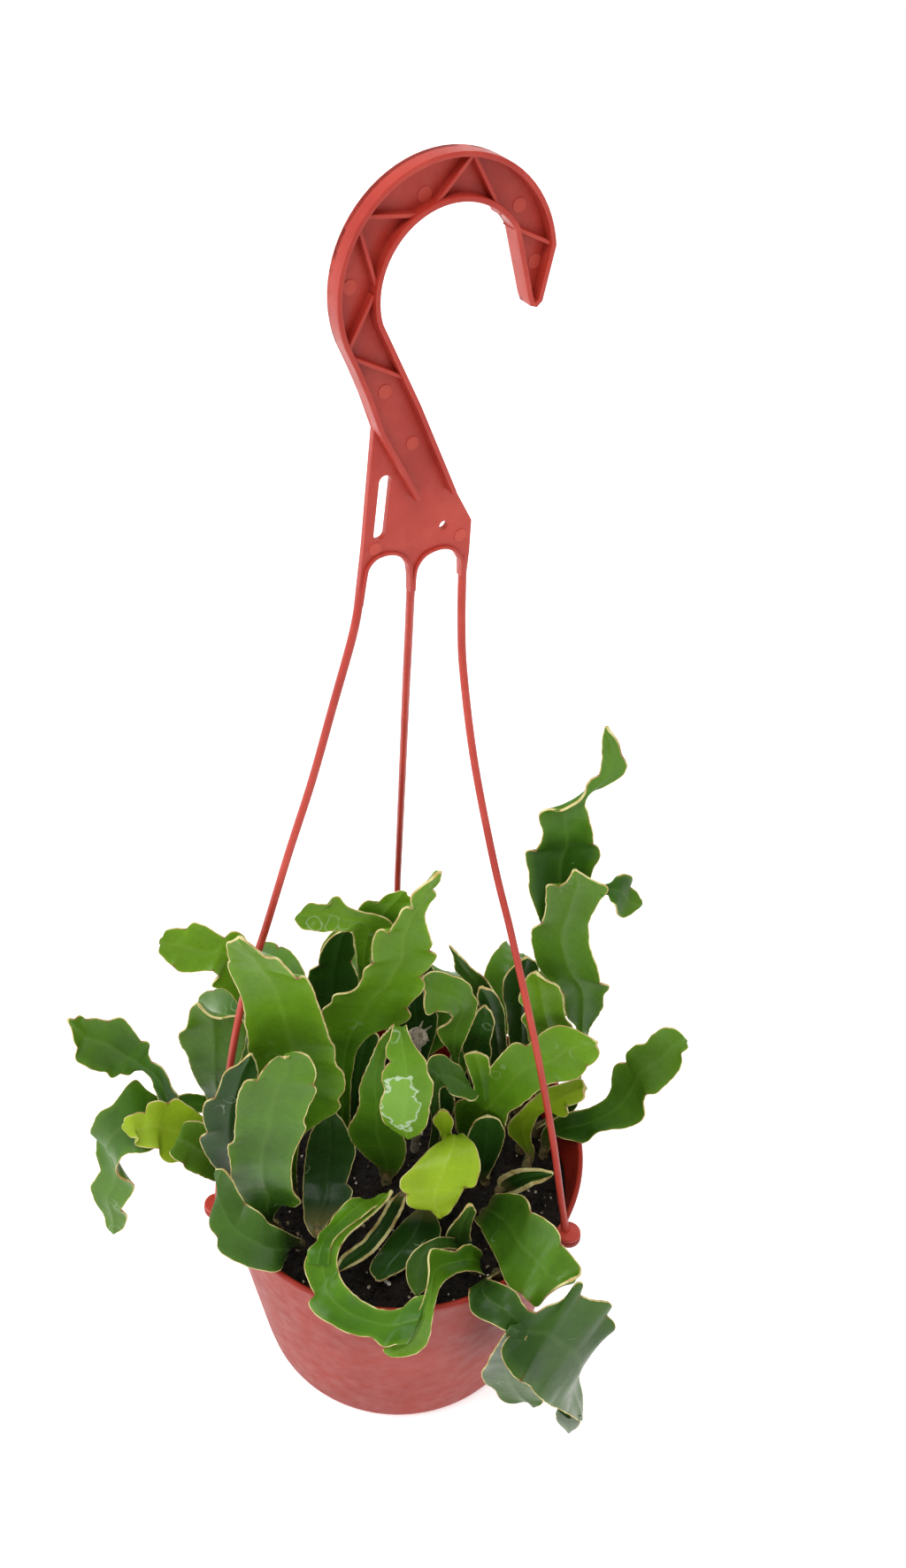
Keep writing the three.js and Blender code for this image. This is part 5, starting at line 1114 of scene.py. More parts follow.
            (618, 1272, 628, 1284), (640, 1258, 648, 1290), (660, 1254, 662, 1292),
            (673, 1249, 674, 1282), (684, 1242, 690, 1278), (691, 1230, 706, 1276),
            (692, 1214, 722, 1270), (697, 1203, 729, 1262), (708, 1201, 728, 1246),
            (709, 1190, 731, 1237), (718, 1181, 741, 1237), (728, 1180, 754, 1226),
            (737, 1170, 765, 1214), (750, 1162, 771, 1202), (763, 1163, 770, 1192),
            (771, 1169, 778, 1184), (775, 1174, 776, 1179)]},
    ]),
    "stem_half_moon": ("grey", (26, -38), [
        {"cup": 0.15, "depth": (-47, -59, -66), "margins": [
            (522, 1414, 514, 1400), (505, 1412, 498, 1399), (491, 1414, 484, 1403),
            (487, 1425, 470, 1412), (486, 1437, 459, 1428), (485, 1448, 459, 1442),
            (482, 1457, 462, 1454), (475, 1463, 468, 1463)]},
        {"cup": 0.15, "depth": (-44, -46), "margins": [
            (504, 1406, 534, 1410), (504, 1396, 532, 1396), (512, 1383, 534, 1382),
            (520, 1374, 538, 1370), (526, 1365, 535, 1363)]},
    ]),
    "stem_floor_dark": ("deep_green_shaded", (12, -15), [
        {"cup": -0.1, "depth": (-24, -42, -52), "margins": [
            (494, 1376, 462, 1376), (498, 1390, 450, 1388), (496, 1402, 438, 1402),
            (484, 1412, 428, 1416), (470, 1424, 420, 1428), (456, 1436, 418, 1438),
            (440, 1444, 424, 1446)]},
    ]),
    "stem_under_bright": ("deep_green_shaded", (36, -2), [
        {"cup": 0.15, "depth": (-8, -7, -7), "margins": [
            (540, 1334, 550, 1332), (535, 1322, 557, 1320), (531, 1308, 564, 1306),
            (529, 1294, 569, 1292), (529, 1282, 571, 1280), (535, 1270, 566, 1268)]},
    ]),
    "stem_centre_dark": ("deep_green_shaded", (18, 18), [
        {"cup": 0.15, "lobes": 2, "notch": 0.15, "spine": [
            (18, 18, 94, 2), (18, 6, 127, 3.5), (17, 2, 144, 5), (19, 0, 155, 3)]},
    ]),
    "stem_back_far_left": ("leaf", (-57, 27), [
        {"cup": 0.15, "lobes": 4, "notch": 0.18, "spine": [
            (-57, 27, 94, 2), (-60, 33, 116, 4), (-66, 42, 128, 8), (-75, 54, 131, 11),
            (-82, 66, 124, 10), (-87, 76, 110, 7), (-89, 82, 98, 3)]},
    ]),
    "stem_back_left": ("leaf", (-45, 30), [
        {"cup": 0.15, "lobes": 4, "notch": 0.18, "spine": [
            (-45, 30, 94, 2), (-46, 42, 120, 6), (-50, 54, 142, 12), (-56, 66, 147, 13),
            (-60, 78, 138, 11), (-62, 88, 124, 4)]},
    ]),
    "stem_back_low_left": ("grey", (-38, 44), [
        {"cup": 0.15, "lobes": 4, "notch": 0.18, "spine": [
            (-38, 44, 94, 2), (-40, 53, 118, 4), (-43, 62, 127, 6), (-47, 72, 126, 9),
            (-51, 82, 117, 11), (-54, 90, 104, 9), (-56, 97, 88, 4)]},
    ]),
    "stem_back_mid_left": ("leaf", (-28, 48), [
        {"cup": 0.15, "lobes": 4, "notch": 0.18, "spine": [
            (-28, 48, 94, 2), (-29, 56, 125, 6), (-27, 62, 146, 11), (-24, 70, 154, 12),
            (-20, 80, 152, 10), (-18, 88, 142, 4)]},
    ]),
    "stem_back_upright": ("deep_green_shaded", (6, 36), [
        {"cup": 0.15, "lobes": 4, "notch": 0.18, "spine": [
            (6, 36, 94, 2), (7, 39, 125, 5), (6, 42, 150, 10), (2, 46, 168, 12), (-5, 49, 182, 11),
            (-11, 51, 190, 5)]},
    ]),
    "stem_back_mid": ("leaf", (0, 54), [
        {"cup": 0.15, "lobes": 4, "notch": 0.18, "spine": [
            (0, 54, 94, 2), (9, 55, 114, 7), (16, 57, 130, 10.5), (19, 63, 140, 9.5), (20, 71, 141, 9),
            (21, 80, 132, 5)]},
    ]),
    "stem_back_right": ("leaf", (22, 44), [
        {"cup": 0.15, "lobes": 4, "notch": 0.18, "spine": [
            (22, 44, 94, 2), (28, 50, 114, 6), (39, 54, 132, 9.5), (44, 60, 146, 10.5),
            (47, 67, 153, 9), (49, 75, 151, 7), (50, 83, 141, 3)]},
    ]),
    "stem_back_far_right": ("grey", (32, 56), [
        {"cup": 0.15, "lobes": 4, "notch": 0.18, "spine": [
            (32, 56, 94, 2), (41, 60, 118, 4), (53, 65, 128, 9), (63, 70, 130, 11), (72, 75, 122, 9),
            (79, 80, 108, 4)]},
    ]),
}
print("stems:", len(STEMS), "blades:", sum(len(pads) for _, _, pads in STEMS.values()))

# %% [markdown]
# ### From a place in the picture to a place in space
# A place in the picture is a line of sight. To know where on that line a margin lies we need
# one more number, and the table has it: how far back the middle of the blade is. The two
# margins are then set on a plane through that middle which faces the front. A slow wave
# pushes one margin nearer and the other away, as these stems twist a little as they grow.

# %% Margins of a visible blade
FRONT = Vector((-0.03, -0.76, 0.65)).normalized()
CAMERA_MM = CAMERA_PLACE / MM
CAMERA_AHEAD = CAMERA_UP.cross(CAMERA_RIGHT)
PICTURE_MIDDLE = (512, 886.5)
MARGIN_WAVE = 0.035
WAVE_PER_STEP = 1.25
ROOT_START = 94.5
ROOT_HALF_WIDTH = 2
LEAST_HALF_WIDTH = 0.8


def sight_line(x, y):
    """The direction from the camera through a place in the picture."""
    line = CAMERA_AHEAD * FOCAL_PIXELS + CAMERA_RIGHT * (x - PICTURE_MIDDLE[0])
    return (line + CAMERA_UP * (PICTURE_MIDDLE[1] - y)).normalized()


def seen_on_face(x, y, middle, push):
    """Where a line of sight meets a front-facing plane, pushed away from the viewer."""
    line = sight_line(x, y)
    reach = (middle - CAMERA_MM).dot(FRONT) / line.dot(FRONT)
    return CAMERA_MM + line * (reach + push)


def even_steps(values, t):
    """A number at t between 0 and 1, straight from each value to the next."""
    place = t * (len(values) - 1)
    before = min(int(place), len(values) - 2)
    return values[before] + (values[before + 1] - values[before]) * (place - before)


def seen_margins(pad, root):
    """Left and right margin in millimetres at each step. The first blade starts at a root."""
    pairs = []
    last = len(pad["margins"]) - 1
    for step, (left_x, left_y, right_x, right_y) in enumerate(pad["margins"]):
        line = sight_line((left_x + right_x) / 2, (left_y + right_y) / 2)
        reach = (even_steps(pad["depth"], step / last) - CAMERA_MM.y) / line.y
        middle = CAMERA_MM + line * reach
        width = (seen_on_face(left_x, left_y, middle, 0)
                 - seen_on_face(right_x, right_y, middle, 0)).length
        wave = MARGIN_WAVE / 2 * width * math.sin(WAVE_PER_STEP * step)
        pairs.append((seen_on_face(left_x, left_y, middle, -wave),
                      seen_on_face(right_x, right_y, middle, wave)))
    if root:
        across = pairs[0][1] - pairs[0][0]
        across.z = 0
        across = across.normalized() * ROOT_HALF_WIDTH
        start = Vector((*root, ROOT_START))
        pairs.insert(0, (start - across, start + across))
    return pairs


middle_line = sight_line(*PICTURE_MIDDLE)
print("line of sight at the picture's middle:", tuple(round(c, 3) for c in middle_line))

# %% [markdown]
# ### Rounding the margins
# Between two steps each margin is a smooth curve, but at a notch it must stay sharp. A point
# of a margin is a notch when it lies nearer the midrib than its neighbours do and the line
# turns strongly there. A curve through the points needs a direction at each of them: at a
# notch each side simply keeps its own, and everywhere else the two sides share one.

# %% Rows of a visible blade
STEP = 1.1
SHARP_TURN = 32
NOTCH_REACH = 2.2
# how far a round tip goes on, as a share of the blade's width, and its rows' places and end
TIP_REACH = 0.28
TIP_SHARES = (0.5, 0.85, 1.0)
TIP_END = 0.12


def margin_directions(points, outward):
    """For each point the direction coming in, the direction going out, and if it's a notch."""
    ends = []
    last = len(points) - 1
    for index, point in enumerate(points):
        before = point - points[max(index - 1, 0)]
        after = points[min(index + 1, last)] - point
        before, after = (before or after).normalized(), (after or before).normalized()
        inside = (after - before).dot(outward[index]) > 0
        if inside and math.degrees(before.angle(after, 0)) > SHARP_TURN:
            ends.append((before, after, True))
        else:
            shared = (before + after).normalized()
            ends.append((shared, shared, False))
    return ends


def curve_point(start, end, leaving, arriving, t):
    """A cubic from start to end with given directions at its ends."""
    length = (end - start).length
    a, b = leaving * length, arriving * length
    return (start * (2 * t ** 3 - 3 * t * t + 1) + a * (t ** 3 - 2 * t * t + t)
            + end * (3 * t * t - 2 * t ** 3) + b * (t ** 3 - t * t))


def nearness(distance_before, distance_after, notch_before, notch_after):
    """1 in a notch, falling to 0 a couple of millimetres away."""
    near = 0.0
    if notch_before:
        near = max(near, 1 - distance_before / NOTCH_REACH)
    if notch_after:
        near = max(near, 1 - distance_after / NOTCH_REACH)
    return near


def smoothed(values, times=2):
    """Evens out a row of numbers or vectors, and keeps its two ends."""
    for _ in range(times):
        inner = [a * 0.25 + b * 0.5 + c * 0.25
                 for a, b, c in zip(values, values[1:], values[2:])]
        values = [values[0], *inner, values[-1]]
    return values


def shared_directions(points):
    """A direction at each point of a smooth line, for curve_point."""
    return [along_path(points, index) for index in range(len(points))]


def seen_rows(pad, root):
    """Fine rows of a visible blade: left, centre, right, face direction, notch nearness."""
    pairs = seen_margins(pad, root)
    count = len(pairs) - 1
    middles = [(left + right) / 2 for left, right in pairs]
    acrosses = [(right - left).normalized() for left, right in pairs]
    halves = smoothed([(right - left).length / 2 for left, right in pairs])
    normals = []
    for step, across in enumerate(acrosses):
        ahead = middles[min(step + 1, count)] - middles[max(step - 1, 0)]
        normals.append(across.cross(ahead).normalized())
    normals = [normal.normalized() for normal in smoothed(normals, 3)]
    centres = [middle - normal * pad["cup"] * half
               for middle, normal, half in zip(smoothed(middles, 1), normals, halves)]
    along = shared_directions(centres)
    sides = [[pair[side] for pair in pairs] for side in (0, 1)]
    ends = [margin_directions(sides[0], [-a for a in acrosses]),
            margin_directions(sides[1], acrosses)]
    rows = []
    for step in range(count):
        lengths = [(side[step + 1] - side[step]).length for side in sides]
        parts = max(1, round(max(lengths) / STEP))
        for part in range(parts + (step == count - 1)):
            t = part / parts
            left, right = (curve_point(side[step], side[step + 1], end[step][1],
                                       end[step + 1][0], t) for side, end in zip(sides, ends))
            near = [nearness(length * t, length * (1 - t), end[step][2], end[step + 1][2])
                    for length, end in zip(lengths, ends)]
            normal = normals[step].lerp(normals[step + 1], t).normalized()
            centre = curve_point(centres[step], centres[step + 1], along[step],
                                 along[step + 1], t)
            rows.append((left, centre, right, normal, near))
    return rows + round_tip(rows[-1], rows[-3])


def round_tip(last, earlier):
    """Three more rows that close a blade with a round end."""
    left, centre, right, normal, _ = last
    ahead = (centre - earlier[1]).normalized()
    reach = TIP_REACH * (right - left).length
    rows = []
    for share in TIP_SHARES:
        narrow = math.sqrt(1 - share * share) if share < 1 else TIP_END
        shift = ahead * reach * share
        rows.append((centre + (left - centre) * narrow + shift, centre + shift,
                     centre + (right - centre) * narrow + shift, normal, (0.0, 0.0)))
    return rows


# %% [markdown]
# ### A hidden blade from its spine
# Between the points of a spine the places follow a centripetal Catmull-Rom curve, which
# doesn't overshoot where points are close together. Widths and turns use the plain kind. The
# lobes come from the square root of a sine, which is round at the crown and sharp in the
# notch, as on the real stem.

# %% Rows of a hidden blade
STEADINESS = 0.35
STEADIER_BETWEEN = 2.3
WAVE_PER_LOBE = 0.37
CURVE_STEPS = 400
NEARBY = 0.002
LEAST_ROWS = 8
RIGHT_SIDE_LAG = 1 / 3
NOTCH_SHARPNESS = 6


def centripetal(points, t):
    """Place at t between 0 and 1 on a centripetal Catmull-Rom curve."""
    count = len(points) - 1
    segment = min(int(t * count), count - 1)
    weight = t * count - segment
    p1, p2 = points[segment], points[segment + 1]
    p0 = points[segment - 1] if segment > 0 else p1 * 2 - p2
    p3 = points[segment + 2] if segment + 2 <= count else p2 * 2 - p1
    dt0, dt1, dt2 = (max((b - a).length ** 0.5, 1e-4) for a, b in ((p0, p1), (p1, p2), (p2, p3)))
    m1 = ((p1 - p0) / dt0 - (p2 - p0) / (dt0 + dt1) + (p2 - p1) / dt1) * dt1
    m2 = ((p2 - p1) / dt1 - (p3 - p1) / (dt1 + dt2) + (p3 - p2) / dt2) * dt1
    c2 = -3 * p1 + 3 * p2 - 2 * m1 - m2
    c3 = 2 * p1 - 2 * p2 + m1 + m2
    return p1 + m1 * weight + c2 * weight ** 2 + c3 * weight ** 3


def plain_value(values, t):
    """Number at t between 0 and 1 on a plain Catmull-Rom curve."""
    count = len(values) - 1
    segment = min(int(t * count), count - 1)
    w = t * count - segment
    b, c = values[segment], values[segment + 1]
    a = values[segment - 1] if segment > 0 else b
    d = values[segment + 2] if segment + 2 <= count else c
    return b + 0.5 * (c - a) * w + (a - 2.5 * b + 2 * c - 0.5 * d) * w * w + (
        0.5 * (d - a) + 1.5 * (b - c)) * w ** 3


def scallop(place, depth):
    """1 at the crown of a lobe, and less in the notch between two lobes."""
    return 1 - depth * (1 - math.sqrt(abs(math.sin(math.pi * place))))


def spine_rows(pad):
    """Fine rows of a hidden blade, in the same form as those of a visible one."""
    places = [Vector(p[:3]) for p in pad["spine"]]
    widths = [p[3] for p in pad["spine"]]
    turns = [p[4] if len(p) > 4 else 0 for p in pad["spine"]]
    fine = [centripetal(places, k / CURVE_STEPS) for k in range(CURVE_STEPS + 1)]
    length = sum((two - one).length for one, two in zip(fine, fine[1:]))
    count = max(LEAST_ROWS, round(length / STEP))
    rows = []
    side = None
    for step in range(count + 1):
        t = step / count
        low, high = max(t - NEARBY, 0), min(t + NEARBY, 1)
        along = (centripetal(places, high) - centripetal(places, low)).normalized()
        fresh = along.cross(FRONT)
        if side:
            kept = (side - along * side.dot(along)).normalized()
            fresh = -fresh if fresh.dot(side) < 0 else fresh
            fresh += kept * STEADINESS * STEADIER_BETWEEN
        side = fresh.normalized()
        across = Matrix.Rotation(math.radians(plain_value(turns, t)), 3, along) @ side
        normal = across.cross(along).normalized()
        half = max(plain_value(widths, t), LEAST_HALF_WIDTH)
        wave = MARGIN_WAVE * half * math.sin(2 * math.pi * WAVE_PER_LOBE * pad["lobes"] * t)
        centre = centripetal(places, t)
        margins, near = [], []
        for sign, shift in ((-1, 0), (1, RIGHT_SIDE_LAG)):
            place = pad["lobes"] * t + shift
            reach = half * scallop(place, pad["notch"])
            lift = pad["cup"] * half - sign * wave
            margins.append(centre + across * sign * reach + normal * lift)
            near.append(max(0.0, 1 - NOTCH_SHARPNESS * abs(place - round(place))))
        rows.append((margins[0], centre, margins[1], normal, near))
    return rows + round_tip(rows[-1], rows[-3])


def blade_rows(pad, root):
    """Rows of either kind of blade."""
    return spine_rows(pad) if "spine" in pad else seen_rows(pad, root)


sample = next(iter(STEMS.values()))
print("rows of the first blade:", len(blade_rows(sample[2][0], sample[1])))

# %% [markdown]
# ### From rows to a blade
# On each row we lay a cross-section: thick at the midrib, thin towards the margins, with a
# narrow corky bead on either edge. Between midrib and margin the blade is slightly cupped,
# and a slow noise makes it buckle, because a perfectly even sheet would look like cut paper.
# A quick noise frays the margins by a fraction of a millimetre.
# We also store a few numbers on the points: how far along the blade and how far out it lies,
# how near a notch, and how near the root. The material reads them to paint the blade.

# %% Blade mesh
MIDRIB_THICK = 2.3
MARGIN_THICK = 0.9
BEAD_THICK = 0.65
BEAD_WIDTH = 0.34
BUCKLE = 0.5
TOOTH = 0.3
ROOT_LENGTH = 13
ROOT_RADIUS = 2.4
WOODY_LENGTH = 24
HIDDEN_START = 5
ROOT_SIDES = 12
ROOT_ROWS = 12
# the neck's two points in the soil, below its top, and its taper
ROOT_DEPTHS = (9, 1)
ROOT_TAPER, ROOT_TAPER_POWER = 0.72, 1.6
# slots of the stems' materials, in the order in which they are given
SKIN, CORK, NECK = 0, 1, 2
# width of the noises that fray the margins and buckle the blade, in millimetres
TOOTH_WIDTH = 2.6
BUCKLE_WIDTH = 9
# how fast lift, buckle and thickness change from the midrib out, as powers
LIFT_POWER = 1.7
BUCKLE_POWER = 1.5
THICK_POWER = 1.6
# the ridge on the midrib
RIDGE_HEIGHT = 0.45
RIDGE_WIDTH = 1.3
LEAST_EDGE = 0.6
FOLD_ANGLE = 70
COLUMNS = [0.0, 0.07, 0.2, 0.36, 0.52, 0.68, 0.82, 0.93, 1.0]


def half_section(centre, margin, normal, near, seed, bead):
    """Points of one half of a row, from the midrib out: place, half thickness and marks."""
    tooth = TOOTH * noise.noise(margin / TOOTH_WIDTH + Vector((0, seed, 0)))
    way = margin - centre
    way *= 1 + tooth / max(way.length, 2)
    lift = way.dot(normal)
    lateral = way - normal * lift
    reach = max(lateral.length, 0.1)
    edge = max(LEAST_EDGE, 1 - bead / reach)
    cells = []
    for out in [column * edge for column in COLUMNS] + [1.0]:
        place = centre + lateral * out
        buckle = BUCKLE * noise.noise(place / BUCKLE_WIDTH + Vector((seed, 0, 0)))
        buckle *= min(1, reach / BUCKLE_WIDTH)
        rise = lift * out ** LIFT_POWER + buckle * out ** BUCKLE_POWER
        thick = MARGIN_THICK + (MIDRIB_THICK - MARGIN_THICK) * (1 - out) ** THICK_POWER
        thick += RIDGE_HEIGHT * math.exp(-((out * reach) / RIDGE_WIDTH) ** 2)
        thick = BEAD_THICK if out == 1.0 else min(thick, 1.4 * reach + 0.6)
        cells.append((place + normal * rise, thick / 2, out, near * max(0, 3 * out - 2)))
    return cells


def add_blade(points, faces, marks, slots, rows, rooted, seed, bead):
    """Adds one blade's points and faces to the lists of its stem."""
    ring = None
    gone = 0.0
    length = sum((b[1] - a[1]).length for a, b in zip(rows, rows[1:]))
    for index, (left, centre, right, normal, near) in enumerate(rows):
        gone += (centre - rows[max(index - 1, 0)][1]).length
        share = gone / length
        woody = max(0.0, 1 - gone / WOODY_LENGTH) if rooted else 0.0
        line = half_section(centre, left, normal, near[0], seed, bead)[::-1]
        line += half_section(centre, right, normal, near[1], seed, bead)[1:]
        start = len(points)
        for face in (1, -1):
            for spot, half, out, scar in line[::face]:
                points.append(spot + normal * half * face)
                marks.append((share, out, scar, woody))
        count = len(points) - start
        if ring is not None:
            faces += band(ring, start, count)
            on_a_face = count // 2
            edges = (0, on_a_face - 2, on_a_face - 1)
            seen = rooted or gone > HIDDEN_START
            slots += [CORK if seen and step % on_a_face in edges else SKIN
                      for step in range(count)]
        else:
            faces.append(tuple(range(start, start + count))[::-1])
            slots.append(SKIN)
        ring = start
    faces.append(tuple(range(ring, ring + count)))
    slots.append(CORK)


def add_root(points, faces, marks, slots, root, rows):
    """A round woody neck from below the soil to the start of the blade."""
    path = [Vector((*root, SOIL_TOP - depth)) for depth in ROOT_DEPTHS]
    for row in rows[:ROOT_ROWS]:
        if row[1].z > SOIL_TOP + ROOT_LENGTH:
            break
        path.append(row[1])
    side = Vector((1, 0, 0))
    for index, place in enumerate(path):
        along = along_path(path, index)
        side = (side - along * side.dot(along)).normalized()
        other = along.cross(side)
        share = index / (len(path) - 1)
        radius = ROOT_RADIUS * (1 - ROOT_TAPER * share ** ROOT_TAPER_POWER)
        start = len(points)
        for angle in turn_angles(ROOT_SIDES):
            points.append(place + radius * (side * math.cos(angle) + other * math.sin(angle)))
            marks.append((share * 0.1, 0.5, 0.0, 1.0 - share))
        if index:
            faces += band(start - ROOT_SIDES, start, ROOT_SIDES)
            slots += [NECK] * ROOT_SIDES
    faces.append(tuple(range(start, start + ROOT_SIDES)))
    slots.append(NECK)


def stem_mesh(name, root, pads, seed, bead):
    """All blades of one stem and its root, with the marks that the material reads."""
    points, faces, marks, slots = [], [], [], []
    for number, pad in enumerate(pads):
        rooted = number == 0
        rows = blade_rows(pad, root if rooted else None)
        if rooted:
            add_root(points, faces, marks, slots, root, rows)
        add_blade(points, faces, marks, slots, rows, rooted, seed + 0.37 * number, bead)
    mesh = mesh_of(name, points, faces)
    mesh.polygons.foreach_set("material_index", slots)
    for place, label in enumerate(("along", "outward", "notch", "woody")):
        layer = mesh.attributes.new(label, "FLOAT", "POINT")
        layer.data.foreach_set("value", [mark[place] for mark in marks])
    mesh.set_sharp_from_angle(angle=math.radians(FOLD_ANGLE))
    return mesh


# %% [markdown]
# ### The skin of the stems
# The skin is waxy and smooth. Its green swims from patch to patch, is a little lighter along
# the midrib and yellower towards the tip and the margins, and has a few pale rings where
# drops have dried. Towards the root each blade is darker: that is painted shade, where the
# lower ends lie low in the clump. The bead on the margins is dry cork, cream with brown
# scars in the notches. Young stems are lime. The darkest green skin is a shaded copy of the
# same skin: painted shade for the stems that lie behind and under the others. So one
# function makes all the skins. One stem has a patch with a pale outline, where a pool of
# water has dried.

# %% Materials of the stems
# name: body, shade, tip, rib
SKINS = {
    "lime": ("7C9F16", "5E7D12", "9AB02A", "9DAC42"),
    "fresh": ("4A7612", "32590D", "6E941E", "77963A"),
    "leaf": ("3B6415", "25460E", "5C821E", "617F36"),
    "grey": ("34541A", "243E14", "486A22", "5A763E"),
    # the darkest skin: a darker copy of the same green, painted shade for stems behind and under others
    "deep_green_shaded": ("1D3C10", "12290A", "31571A", "385826"),
    "stained": ("4C7818", "37600F", "6C9222", "779A3E"),
}
# Place in the picture and depth of the stain, and its half sizes in millimetres
STAIN_PLACE = (452, 1248)
STAIN_DEPTH = -33
STAIN_SIZE = (7, 13, 13)


def stored(tree, label):
    """A number stored on the mesh."""
    return add_node(tree, "ShaderNodeAttribute", attribute_name=label).outputs["Fac"]


def dried_drops(tree):
    """Thin pale rings with soft ends, each about four to seven millimetres wide."""
    place = add_node(tree, "ShaderNodeTexCoord").outputs["Object"]
    wobble = add_node(tree, "ShaderNodeTexNoise", {"Vector": place, "Scale": 160.0})
    moved = add_node(tree, "ShaderNodeVectorMath", {0: place}, operation="ADD")
    shrunk = add_node(tree, "ShaderNodeVectorMath", {0: wobble.outputs["Color"]},
                      operation="SCALE")
    shrunk.inputs["Scale"].default_value = 0.0045
    tree.links.new(shrunk.outputs["Vector"], moved.inputs[1])
    cells = add_node(tree, "ShaderNodeTexVoronoi", {
        "Vector": moved.outputs["Vector"], "Scale": 95.0}).outputs["Distance"]
    off = calculated(tree, "ABSOLUTE", calculated(tree, "SUBTRACT", cells, 0.26))
    ring = stretched(tree, off, 0.0, 0.035, 1.0, 0.0)
    where = stretched(tree, place_noise(tree, 30, 2), 0.58, 0.66)
    return calculated(tree, "MULTIPLY", ring, where)


def outlined_stain(tree):
    """A wobbly pale line round a patch, where hard water has dried, and the patch itself."""
    line = sight_line(*STAIN_PLACE)
    centre = CAMERA_MM + line * ((STAIN_DEPTH - CAMERA_MM.y) / line.y)
    place = add_node(tree, "ShaderNodeTexCoord").outputs["Object"]
    off = add_node(tree, "ShaderNodeVectorMath", {0: place, 1: centre * MM},
                   operation="SUBTRACT").outputs["Vector"]
    sized = add_node(tree, "ShaderNodeVectorMath", {
        0: off, 1: [1 / (size * MM) for size in STAIN_SIZE]}, operation="MULTIPLY")
    far = add_node(tree, "ShaderNodeVectorMath", {0: sized.outputs["Vector"]},
                   operation="LENGTH").outputs["Value"]
    wobble = stretched(tree, place_noise(tree, 190, 3), 0.3, 0.7, -0.25, 0.25)
    far = calculated(tree, "ADD", far, wobble)
    edge = calculated(tree, "ABSOLUTE", calculated(tree, "SUBTRACT", far, 1.0))
    return stretched(tree, edge, 0.02, 0.08, 0.65, 0), stretched(tree, far, 0.9, 1.0, 0.4, 0)


def stem_skin(name, body, shade, tip, rib):
    """Waxy green skin."""
    made, tree, shader = new_material("skin_" + name)
    green = two_toned(tree, (38, 3), (0.38, 0.62), shade, body)
    along, out = stored(tree, "along"), stored(tree, "outward")
    # Darker towards the root: painted shade where the lower ends of the blades lie in the clump
    green = mixed(tree, stretched(tree, along, 0.0, 0.45, 0.55, 0), green, shade)
    green = mixed(tree, stretched(tree, along, 0.35, 1.0, 0, 0.6), green, tip)
    green = mixed(tree, stretched(tree, out, 0.7, 1.0, 0, 0.4), green, tip)
    green = mixed(tree, stretched(tree, out, 0.0, 0.1, 0.22, 0), green, rib)
    fine = stretched(tree, place_noise(tree, 620, 5, 0.7), 0.42, 0.62, 0, 0.16)
    green = mixed(tree, fine, green, shade)
    flecks = stretched(tree, place_noise(tree, 330, 4, 0.75), 0.71, 0.78, 0, 0.35)
    green = mixed(tree, flecks, green, "B9C58A")
    drops = dried_drops(tree)
    green = mixed(tree, calculated(tree, "MULTIPLY", drops, 0.36), green, "BFCBB0")
    bark = stretched(tree, stored(tree, "woody"), 0.35, 0.9, 0, 0.85)
    green = mixed(tree, bark, green, "6E6A3A")
    if name == "stained":
        edge, patch = outlined_stain(tree)
        green = mixed(tree, edge, mixed(tree, patch, green, "86B44A"), "C3D6B8")
    scar = stretched(tree, stored(tree, "notch"), 0.35, 0.9, 0, 0.7)
    green = mixed(tree, scar, green, "5E4522")
    gloss = stretched(tree, place_noise(tree, 120, 4), 0.3, 0.7, 0.24, 0.38)
    gloss = calculated(tree, "ADD", gloss, calculated(tree, "MULTIPLY", drops, 0.2))
    painted(tree, shader, green, gloss)
    shader.inputs["Specular IOR Level"].default_value = 0.16
    grain = calculated(tree, "ADD", place_noise(tree, 240, 4), calculated(
        tree, "MULTIPLY", place_noise(tree, 1500, 3), 0.3))
    bumped(tree, shader, grain, 0.2, 0.0008)
    return made


def cork():
    """Dry cork of the margins."""
    made, tree, shader = new_material("cork_margin")
    body = two_toned(tree, (180, 4), (0.4, 0.62), "CFC488", "A98F50")
    scar = calculated(tree, "MAXIMUM", stored(tree, "notch"), stretched(
        tree, place_noise(tree, 75, 3, 0.6), 0.62, 0.7, 0, 0.8))
    painted(tree, shader, mixed(tree, scar, body, "7A4A28"), 0.75)
    bumped(tree, shader, place_noise(tree, 1400, 4), 0.5, 0.0004)
    return made


def woody_neck():
    """The rough brown-green foot of a stem."""
    return rough_material("woody_neck", (300, 5, 0.7), (0.38, 0.62), ("3C4A22", "8A7248"), 0.85,
                          (900, 5, 0.7), 0.8, 0.0008)


skins = {name: stem_skin(name, *colours) for name, colours in SKINS.items()}
margin, neck = cork(), woody_neck()
print("skins:", ", ".join(skins))

# %% [markdown]
# ### Growing the whole plant
# Now each row of the table becomes one piece. Two stems have a broad dry edge instead of
# the thin bead, as the photographed plant has near its middle.

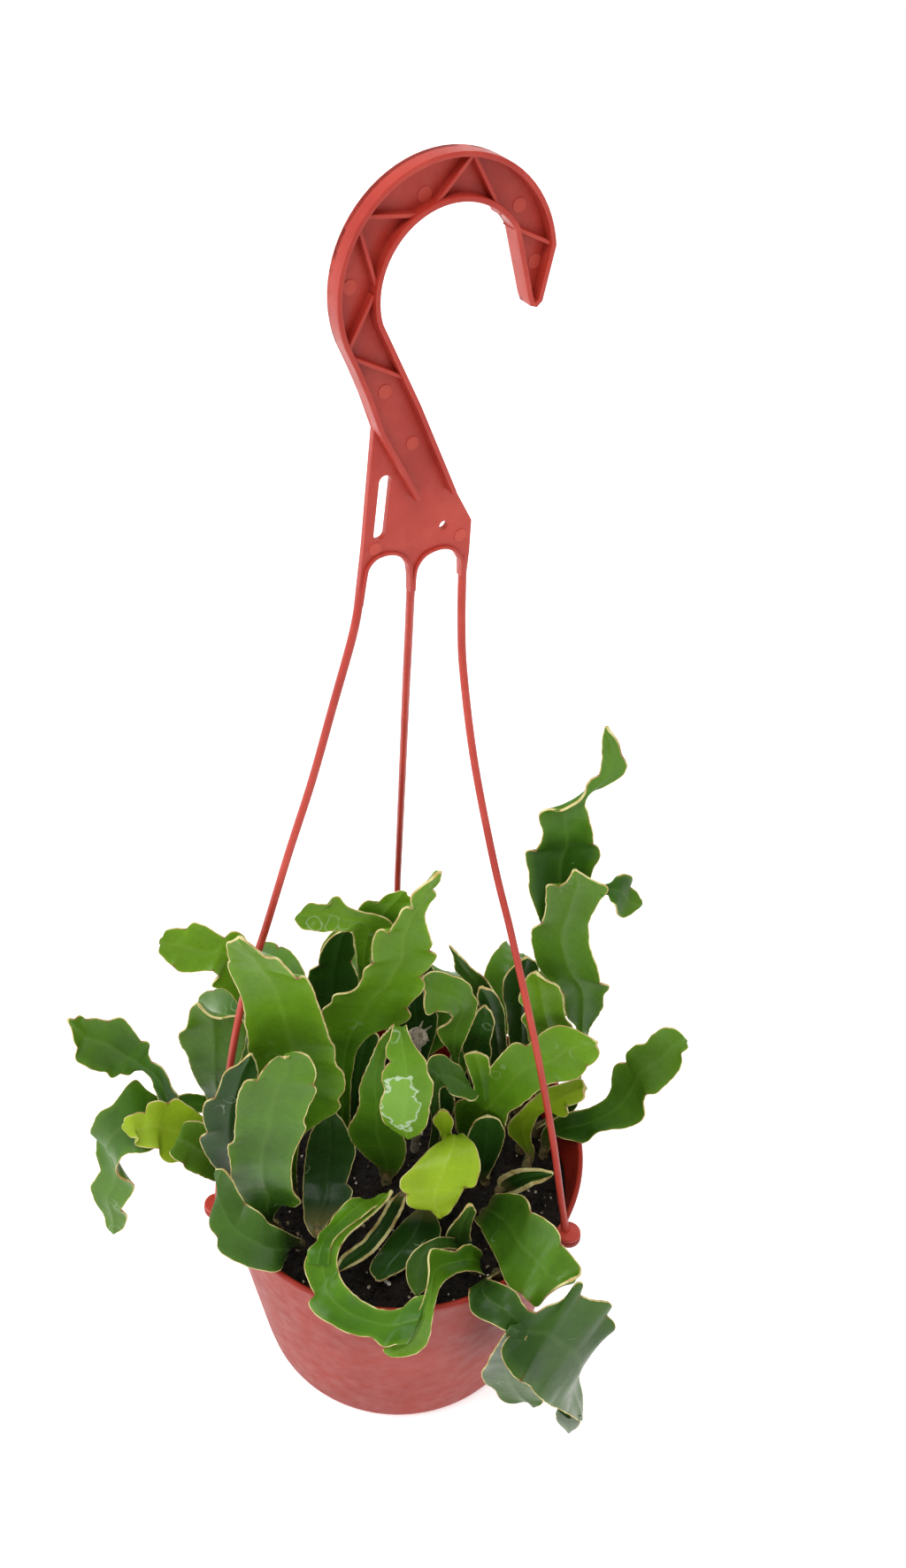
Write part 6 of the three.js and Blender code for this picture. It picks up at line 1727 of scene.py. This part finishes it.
# %% Stems
DRY_EDGES = {"stem_dry_edge": 2.2, "stem_brown_edge": 1.3}
SEED_STEP = 1.7
total = 0
for number, (name, (skin, root, pads)) in enumerate(STEMS.items()):
    bead = DRY_EDGES.get(name, BEAD_WIDTH)
    mesh = stem_mesh(name, root, pads, SEED_STEP * number + 1, bead)
    finished_piece("blade_" + name[5:], mesh, [skins[skin], margin, neck], name)
    total += len(mesh.polygons)
print("faces of all stems:", total)

# %% [markdown]
# ## The dried-up stub
# One old shoot has died back to a grey, frayed stick. A swept rod gives the stick, with a
# radius that swells at random, and a few short thin rods at its top make the frayed end.

# %% Dry stub
DRY_STUB = [(6, 14, 84), (6, 14, 93), (7, 13, 120), (6, 9, 150), (6, 5, 178)]
FRAY_COUNT = 9
FRAY_SEED = 5
STICK_RADIUS = 1.9
STICK_SWELL = 0.35
KNOB_HEIGHTS = (-5, -3.5, -1.5, 0.5, 2.5, 4.2)
KNOB_RADII = [1.2, 2.9, 4.2, 4.3, 3.0, 0.8]
FIBRE_RADII = [1.0, 0.9, 0.8, 0.7, 0.55, 0.4, 0.2]


def stub_mesh():
    """The stick, its dried knob and the frayed fibres."""
    draw = random.Random(FRAY_SEED)
    path = [Vector(p) for p in eased(DRY_STUB, 9)]
    radii = [STICK_RADIUS + STICK_SWELL * noise.noise(Vector((0, 0, p.z / 4))) for p in path]
    parts = [sweep("stick", path, radii, 12)]
    top = path[-1]
    knob = [top + Vector((0, 0, z)) for z in KNOB_HEIGHTS]
    parts.append(sweep("knob", knob, KNOB_RADII, 14))
    for _ in range(FRAY_COUNT):
        lean = Vector((draw.uniform(-1, 1), draw.uniform(-1, 1), draw.uniform(0.1, 1.2)))
        lean.normalize()
        bend = Vector((draw.uniform(-1, 1), draw.uniform(-1, 1), 0))
        fibre = [top + lean * s * 1.1 + bend * (s / 6) ** 2 for s in range(len(FIBRE_RADII))]
        parts.append(sweep("fibre", fibre, FIBRE_RADII, 6))
    return joined_mesh("dry_stub", parts, 60)


def dry_fibre():
    """Grey-tan dead fibre with darker streaks."""
    return rough_material("dry_fibre", (240, 6, 0.75), (0.36, 0.64), ("5E5245", "B5A994"), 0.92,
                          (700, 6, 0.8), 1.0, 0.001)


stub = finished_piece("dried_stub", stub_mesh(), [dry_fibre()], "dry_stub")
print("stub faces:", len(stub.data.polygons))
